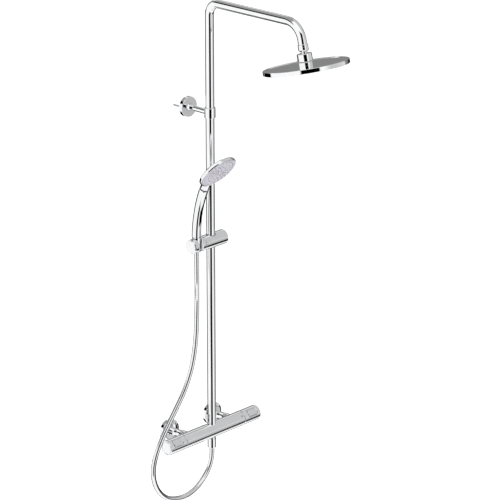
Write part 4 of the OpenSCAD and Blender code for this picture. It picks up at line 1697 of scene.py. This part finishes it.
@dataclass
class HandShower(Assembly):
    """Hand shower: handle, neck, head and spray face."""

    bend: float = 310.0
    turn: float = 24.0
    handle_radius: float = 11.0
    spray_radius: float = 50.0
    rings: int = 4
    pitch: float = 10.0
    foot: Vector = field(init=False)
    face: Matrix = field(init=False)
    neck_at: Matrix = field(init=False)

    def build(self) -> None:
        """Builds the nut, handle, neck, head and face."""
        middle = Place.joint("slider_swivel")[0]
        face, out = Place.joint("spray_select")
        self.foot = Vector((face.x, middle.y, middle.z))
        self.face = stand(tuple(face), tuple(out), (1, 0, 0))
        self.build_nut()
        self.build_handle()
        self.build_head()
        self.build_face()
        self.dress(Look.WHITE, "handset_water_tube")

    def build_nut(self) -> None:
        """Builds the conical nut that hangs in the fork."""
        at = stand(tuple(self.foot), (0, 0, 1), (1, 0, 0))
        cone = [
            (-17, 0), (-17, 7.8, 0.5), (-16, 8.65, 0.5), (-13.2, 8.84, 0.1), (-12.8, 8.5, 0.1), (
                -12.4, 8.88, 0.1
            ),
            (21, 10.95, 0.3), (21, 8.05), (-12, 8.05), (-12, 0),
        ]
        self.add(turned("hose_cone_nut", cone, at, False, 112), Look.CHROME, "handset", "hose_nut_upper")

    def handle_path(self, start: float, stop: float, points: int) -> np.ndarray:
        """Works out part of the handle's centreline.

        Args:
            start: Angle along its bend where it starts, in degrees.
            stop: Angle where it ends.
            points: How many points.

        Returns:
            The points.
        """
        a = np.radians(np.linspace(start, stop, points))
        y, z = self.foot.y - self.bend, self.foot.z + 21.3
        return np.stack(
            [np.full(points, self.foot.x), y + self.bend * np.cos(a), z + self.bend * np.sin(a)], axis=1
        )

    def build_handle(self) -> None:
        """Builds the handle, a slightly squared round that narrows a little in the hand."""
        path = self.handle_path(0, self.turn, 60)
        t = np.linspace(0, 1, 60)
        sizes = self.handle_radius - 0.55 * np.sin(math.pi * t) ** 2 - 0.1
        section = circle(112, 2.35)
        body = tube_rings(path, (1, 0, 0), section, sizes)
        ends = [tube_rings(path, (1, 0, 0), section, sizes - ease) for ease in (0.7, 0.3, 0.08)]
        nudge = [0.0, 0.25, 0.6]
        start = [
            ring[0] + (path[1] - path[0]) / np.linalg.norm(path[1] - path[0]) * n
            for ring, n in zip(ends, nudge)
        ]
        stop = [
            ring[-1] - (path[-1] - path[-2]) / np.linalg.norm(path[-1] - path[-2]) * n
            for ring, n in zip(ends, nudge)
        ]
        rings = np.array(start + list(body[1:-1]) + stop[::-1])
        self.add(Shell("handle_grip", [rings]).build(), Look.CHROMED_PLASTIC, "handset", "handset_handle")
        top = path[-1]
        along = path[-1] - path[-2]
        ring_at = stand(tuple(top), tuple(along), (1, 0, 0))
        ring = [(0, 6.5), (0, 10.7, 0.4), (4.0, 10.8, 0.4), (4.0, 6.5)]
        self.add(turned("neck_seal", ring, ring_at, True, 80), Look.RUBBER, "handset", "handset_neck_ring")
        self.neck_at = ring_at

    def build_head(self) -> None:
        """Builds the neck, the domed back and the rim of the head."""
        steps = 40
        start = np.array(self.neck_at.translation) + np.array(self.neck_at.col[2][:3]) * 3.8
        up = np.array(self.neck_at.col[2][:3])
        side = np.array((1.0, 0.0, 0.0))
        face = np.array(self.face.translation)
        out = np.array(self.face.col[2][:3])
        across = np.array(self.face.col[1][:3])
        target = face - across * 9 - out * 11.5
        lead = -across * -1.0
        rings = []
        for t in np.linspace(0, 1, steps):
            h00, h10 = 2 * t**3 - 3 * t**2 + 1, t**3 - 2 * t**2 + t
            h01, h11 = -2 * t**3 + 3 * t**2, t**3 - t**2
            point = h00 * start + h10 * up * 62 + h01 * target + h11 * lead * 62
            ease = t * t * (3 - 2 * t)
            normal = (1 - ease) * np.cross(side, up) * -1 + ease * -out * -1
            normal /= np.linalg.norm(normal)
            wide, deep = 10.8 + 18 * ease, 10.8 - 5.0 * ease
            a = np.linspace(0, 2 * math.pi, 96, endpoint=False)
            rings.append(point + wide * np.cos(a)[:, None] * side + deep * np.sin(a)[:, None] * normal)
        neck = Shell("head_neck", [np.array(rings)]).build()
        self.add(neck, Look.CHROMED_PLASTIC, "handset")
        r = self.spray_radius
        back = [
            (-18, 0), (-17.2, 16, 30), (-14.8, 30, 30), (-11.7, 42, 12), (-8.9, r - 1.8, 0.5), (-8.9, r - 4),
            (-10.2, 43), (-16, 12, 20), (-16.2, 0),
        ]
        self.add(
            turned("head_back", back, self.face, False, 160), Look.CHROMED_PLASTIC, "handset",
            "handset_head_shell",
        )
        rim = [
            (-8.7, r - 3), (-8.7, r - 1.4, 0.3), (-7, r, 0.9), (-2.2, r, 1.4), (0.0, r - 1.3, 0.6), (
                -0.25, r - 3, 0.2
            ),
        ]
        self.add(
            turned("head_rim", rim, self.face, True, 200), Look.CHROMED_PLASTIC, "handset", "handset_rim"
        )

    def build_face(self) -> None:
        """Builds the ribbed spray face, its nozzles and the stud in its middle."""
        r, n = self.spray_radius - 3.4, 288
        a = np.linspace(0, 2 * math.pi, n, endpoint=False)
        radii = np.concatenate(
            [np.linspace(5.4, 8, 6), np.linspace(8.6, r - 4, 44), np.linspace(r - 3.6, r - 0.8, 8)]
        )
        inside = np.clip((radii - 8) / 3, 0, 1) * np.clip((r - 3.6 - radii) / 2, 0, 1)
        ribs = np.abs(np.sin(12 * a)) ** 0.7
        height = -0.35 - 1.5 * inside[:, None] * (1 - ribs[None])
        height = height + 0.15 * np.cos(radii * 2 * math.pi / self.pitch)[:, None] * inside[:, None]
        top = np.dstack([radii[:, None] * np.cos(a), radii[:, None] * np.sin(a), height])
        side = np.array([(r - 0.8, -0.2), (r - 0.25, -0.4), (r, -1.0), (r, -6.0)])
        wall = np.dstack([side[:, :1] * np.cos(a), side[:, :1] * np.sin(a), side[:, 1:] * np.ones(n)])
        under = np.dstack(
            [np.array([[r], [5.4]]) * np.cos(a), np.array([[r], [5.4]]) * np.sin(a), np.full((2, n), -6.0)]
        )
        inner = np.array([under[-1], top[0]])
        runs = [carry(x, self.face) for x in (top, wall, under, inner)]
        runs[1][0] = runs[0][-1]
        self.add(Shell("spray_face_disc", runs, True).build(), Look.FACE, "spray_face", "handset_spray_face")
        tip = [
            (-3.4, 0), (-3.4, 1.5), (-0.6, 1.5, 0.2), (0.75, 1.02, 0.25), (1.05, 0.8, 0.12),
            (1.05, 0.42, 0.08), (0.2, 0.36), (0.2, 0),
        ]
        unit = turned("nozzle", tip, stand((0, 0, 0), (0, 0, 1)), False, 18)
        piece = scatter("spray_nozzles", unit, nozzle_spots(self.rings, self.pitch, self.face, 0.0))
        self.add(piece, Look.NOZZLE, "spray_face", "handset_nozzle_mat")
        stud = [
            (-16.4, 0), (-16.4, 3), (-0.2, 3), (-0.2, 5.2, 0.1), (1.2, 5.2, 0.4), (0.9, 3.6, 1.5), (0.8, 0)
        ]
        self.add(turned("face_stud", stud, self.face, False, 64), Look.CHROME, "handset", "handset_face_stud")


@dataclass
class Hose(Assembly):
    """Shower hose from the hand shower to the mixer, in lengths."""

    radius: float = 6.0
    spiral: float = 4.5
    route: tuple[Corner, ...] = (
        (-48, 0, 483), (-48, 0, 460), (-48.4, 0.4, 430.2), (-56.8, 8.8, 400.3), (-71.6, 23.6, 369.2), (
            -81, 32, 334.2
        ),
        (-83, 32, 294.2), (-88, 32, 254.2), (-97, 32, 215.2), (-111, 32, 179.2), (-130, 32, 145.2), (
            -153, 32, 114.2
        ),
        (-177, 32, 83.2), (-199, 32, 53.2), (-215.8, 31.8, 25.1), (-225.3, 30.3, -1.8), (-227.8, 27.8, -29.3),
        (-221, 24, -60.6), (-203.3, 19.3, -92.4), (-174.9, 13.9, -120.7), (-138.6, 8.6, -138.8), (
            -100.2, 4.2, -146.5
        ),
        (-65.2, 1.2, -142.3), (-36, 0, -127), (-14, 0, -104), (-3, 0, -80), (0, 0, -62), (0, 0, -47),
    )
    upper: tuple[float, ...] = (76.0, 76.0, 76.0)
    lower: int = 7
    foot_nut: bpy.types.Object = field(init=False)

    def build(self) -> None:
        """Builds the hose's lengths and the nut at its foot."""
        gap = -Place.joint("slider_swivel")[0].y
        line = self.smooth_line(gap)
        runs = np.concatenate([[0], np.cumsum(np.linalg.norm(np.diff(line, axis=0), axis=1))])
        total = float(runs[-1])
        at = stand((0, -gap, 0), (0, 0, 1), (1, 0, 0))
        nut = [
            (-47, 4.5), (-47, 9.4, 0.6), (-45.6, 10.6, 0.6), (-22.2, 10.6, 0.6), (-22.2, 8.05), (-31.7, 8.05),
            (-31.7, 4.5),
        ]
        self.foot_nut = self.add(
            turned("hose_foot_nut", nut, at, True, 112), Look.CHROME, "root", "hose_nut_lower"
        )
        ends = [0.0, *np.cumsum(self.upper)]
        rest = total - ends[-1]
        ends += [ends[3] + rest * (k + 1) / self.lower for k in range(self.lower)]
        pairs = [("handset", "holder"), ("holder", "slider"), ("slider", "slider_bush")]
        pairs += [("slider_bush", "root")] * self.lower
        for number, (low, high, pair) in enumerate(zip(ends[:-1], ends[1:], pairs)):
            share = (0.0, 1.0) if number < 3 else ((number - 3) / self.lower, (number - 2) / self.lower)
            self.build_length(number + 1, line, runs, low, high, pair, share, total)
        log.info("hose: %.0f mm along its middle", total)

    def smooth_line(self, gap: float) -> np.ndarray:
        """Draws one smooth curve through the route.

        Args:
            gap: Distance of the hose from the wall.

        Returns:
            Closely spaced points.
        """
        p = np.array([(x, -gap - before, z) for x, before, z in self.route], float)
        p = np.vstack([2 * p[0] - p[1], p, 2 * p[-1] - p[-2]])
        made = []
        for i in range(1, len(p) - 2):
            for t in np.linspace(0, 1, 12, endpoint=False):
                a, b, c, d = p[i - 1 : i + 3]
                bend, twist = 2 * a - 5 * b + 4 * c - d, 3 * b - a - 3 * c + d
                made.append(0.5 * (2 * b + (c - a) * t + bend * t**2 + twist * t**3))
        return np.array(made + [p[-2]])

    def build_length(
        self, number: int, line: np.ndarray, runs: np.ndarray, low: float, high: float,
        pair: tuple[str, str], share: tuple[float, float], total: float,
    ) -> None:
        """Builds one length of the hose.

        Args:
            number: Its place from the hand shower.
            line: The whole centreline.
            runs: Distance along the line of each of its points.
            low: Distance where the length starts.
            high: Distance where it ends.
            pair: The two bodies. Not used.
            share: How far it follows the second body at its start and its end, before easing. Not used.
            total: Length of the whole hose.
        """
        count = max(19, round((high - low) / 3.5))
        s = np.linspace(low, high, count)
        wide = np.concatenate([[low - 1.0], s, [high + 1.0]])
        path = np.stack([np.interp(np.clip(wide, 0, total), runs, line[:, k]) for k in range(3)], axis=1)
        if low <= 0:
            path[0] = path[1] + (path[1] - path[2])
        if high >= total:
            path[-1] = path[-2] + (path[-2] - path[-3])
        around = 40
        rings = tube_rings(path, (0, 1, 0), circle(around), np.full(len(path), self.radius))[1:-1]
        path = path[1:-1]
        piece = Shell(f"hose_length_{number:02d}", [rings]).build()
        self.lay_turns(piece, around, s)
        piece.data.materials.append(Look.HOSE.value.material())
        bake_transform(piece)
        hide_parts("hose")
        self.count += 1

    def lay_turns(self, piece: bpy.types.Object, around: int, s: np.ndarray) -> None:
        """Writes each corner's turn round the hose and place along it, which the spiral follows.

        Args:
            piece: The length of hose.
            around: Points around.
            s: Distance along the hose of each ring.
        """
        layer = piece.data.uv_layers.new(name="hose_turns")
        for poly in piece.data.polygons:
            ids = [i % around for i in poly.vertices]
            wrap = max(ids) - min(ids) > around // 2
            for loop, i in zip(poly.loop_indices, poly.vertices):
                turn = (i % around) / around
                if wrap and turn < 0.5:
                    turn += 1.0
                layer.data[loop].uv = (turn, s[min(i // around, len(s) - 1)] / self.spiral)


# ---- studio ----


@dataclass(frozen=True)
class Screen:
    """A screen of the studio as bright metal sees it, by its direction from the object, in degrees.

    Azimuth 0 is towards the camera and grows to the right of it.
    """

    azimuth: float
    elevation: float
    half_width: float
    half_height: float
    edge: float
    level: float


@dataclass
class Studio:
    """Camera, lights, screens and floor."""

    azimuth: float = 45.744
    pitch: float = 19.715
    lens: float = 172.8
    spot: Corner = (-3853.9, -3967.8, 2436.7)
    floor_height: float = -1050.0
    screens: tuple[Screen, ...] = (
        Screen(115, 42, 58, 46, 12, 0.56),
        Screen(-130, 64, 66, 26, 3, 0.32),
        Screen(-95, 30, 36, 9.5, 2.0, 0.0),
        Screen(180, 8, 58, 17, 4, 0.23),
        Screen(180, -26.5, 72, 19.5, 2.5, 0.0),
        Screen(-145, -42, 32, 14, 3, 0.0),
        Screen(96, -16, 18, 10, 4, 0.48),
        Screen(9.5, -6, 25, 40, 2.5, 0.0),
        Screen(101, -34.0, 36, 7.5, 1.5, 0.0),
    )

    def build_camera(self) -> None:
        """Builds the camera."""
        data = bpy.data.cameras.new("camera")
        data.lens, data.sensor_width, data.clip_end = self.lens, 36.0, 100.0
        made = bpy.data.objects.new("camera", data)
        bpy.context.scene.collection.objects.link(made)
        a, p = math.radians(self.azimuth), math.radians(self.pitch)
        look = Vector((math.sin(a) * math.cos(p), math.cos(a) * math.cos(p), -math.sin(p)))
        made.location = Vector(self.spot) * MM
        made.rotation_euler = look.to_track_quat("-Z", "Y").to_euler()
        bpy.context.scene.camera = made

    def build_room(self) -> None:
        """Builds the floor, the lamps and the surroundings."""
        scene = bpy.context.scene
        scene.view_settings.view_transform = "Standard"
        self.build_floor()
        self.build_lamp("soft_left", (-2600, -2200, 2900), 2200, 60)
        self.build_lamp("soft_front", (1500, -3200, 1600), 1800, 28)
        world = bpy.data.worlds.new("studio")
        scene.world = world
        world.use_nodes = True
        world.node_tree.nodes.clear()
        self.wire_world(Wiring(world.node_tree))

    def build_floor(self) -> None:
        """Builds the plain pale floor, which is seen from above only."""
        n = 48
        a = np.linspace(0, 2 * math.pi, n, endpoint=False)
        points = np.column_stack([40000 * np.cos(a), 40000 * np.sin(a), np.full(n, self.floor_height)])
        floor = new_object("floor", points, [tuple(range(n))])
        made = bpy.data.materials.new("pale_floor")
        made.use_nodes = True
        w = Wiring(made.node_tree)
        shader = made.node_tree.nodes["Principled BSDF"]
        shader.inputs["Emission Strength"].default_value = 0.6
        tone = w.blend(w.noise(1.3, 3.0), (0.93, 0.93, 0.93), (0.97, 0.97, 0.965))
        w.feed(shader.inputs["Base Color"], tone)
        w.feed(shader.inputs["Emission Color"], tone)
        w.feed(shader.inputs["Roughness"], w.spread(w.noise(9.0, 3.0), 0.3, 0.7, 0.75, 0.9))
        clear = w.node("ShaderNodeBsdfTransparent")
        mix = w.node("ShaderNodeMixShader")
        w.feed(mix.inputs[0], w.node("ShaderNodeNewGeometry").outputs["Backfacing"])
        w.feed(mix.inputs[1], shader.outputs[0])
        w.feed(mix.inputs[2], clear.outputs[0])
        w.feed(made.node_tree.nodes["Material Output"].inputs[0], mix.outputs[0])
        floor.data.materials.append(made)
        floor.visible_glossy = False

    def build_lamp(self, name: str, spot: Corner, size: float, power: float) -> None:
        """Builds a soft lamp that bright metal doesn't mirror.

        Args:
            name: Its name.
            spot: Where it stands.
            size: Its side.
            power: Its power in watts.
        """
        data = bpy.data.lights.new(name, "AREA")
        data.size, data.energy = size * MM, power
        made = bpy.data.objects.new(name, data)
        made.location = Vector(spot) * MM
        made.rotation_euler = (Vector((-100, -150, 450)) - Vector(spot)).to_track_quat("-Z", "Y").to_euler()
        made.visible_glossy = False
        bpy.context.scene.collection.objects.link(made)

    def wire_world(self, w: Wiring) -> None:
        """Joins the screens into the surroundings that the metal mirrors.

        Args:
            w: Wiring of the world.
        """
        split = w.node("ShaderNodeSeparateXYZ")
        w.feed(split.inputs[0], w.node("ShaderNodeTexCoord").outputs["Generated"])
        x, y, z = split.outputs
        a = math.radians(self.azimuth)
        right = w.math("ADD", w.math("MULTIPLY", x, math.cos(a)), w.math("MULTIPLY", y, -math.sin(a)))
        front = w.math("ADD", w.math("MULTIPLY", x, -math.sin(a)), w.math("MULTIPLY", y, -math.cos(a)))
        azimuth = w.math("ARCTAN2", right, front)
        elevation = w.math("ARCSINE", z)
        level: object = 0.97
        for screen in self.screens:
            turned_by = w.math("SUBTRACT", azimuth, math.radians(screen.azimuth))
            off = w.math("ARCCOSINE", w.math("COSINE", turned_by))
            up = w.math("ABSOLUTE", w.math("SUBTRACT", elevation, math.radians(screen.elevation)))
            masks = []
            for value, half in ((off, screen.half_width), (up, screen.half_height)):
                low, high = math.radians(half - screen.edge), math.radians(half + screen.edge)
                masks.append(w.spread(value, low, high, 1.0, 0.0, True))
            mask = w.math("MULTIPLY", *masks)
            kept = w.math("MULTIPLY", level, w.math("SUBTRACT", 1.0, mask))
            level = w.math("ADD", kept, w.math("MULTIPLY", mask, screen.level))
        light = w.node("ShaderNodeBackground")
        w.feed(light.inputs["Color"], level)
        light.inputs["Strength"].default_value = 1.05
        paper = w.node("ShaderNodeBackground")
        paper.inputs["Color"].default_value = (1, 1, 1, 1)
        paper.inputs["Strength"].default_value = 1.0
        mix = w.node("ShaderNodeMixShader")
        w.feed(mix.inputs[0], w.node("ShaderNodeLightPath").outputs["Is Camera Ray"])
        w.feed(mix.inputs[1], light.outputs[0])
        w.feed(mix.inputs[2], paper.outputs[0])
        w.feed(w.node("ShaderNodeOutputWorld").inputs[0], mix.outputs[0])


def main() -> None:
    """Builds the studio's camera, the hand shower and hose, the other sub-assemblies, and the room."""
    logging.basicConfig(level=logging.INFO, format="%(message)s")
    studio = Studio()
    studio.build_camera()
    for assembly in (HandShower(), Hose(), Mixer(), Inlets(), Riser(), RainHead(), Slider()):
        assembly.build()
        log.info("%s: %d pieces", type(assembly).__name__, assembly.count)
    studio.build_room()


if __name__ == "__main__":
    main()
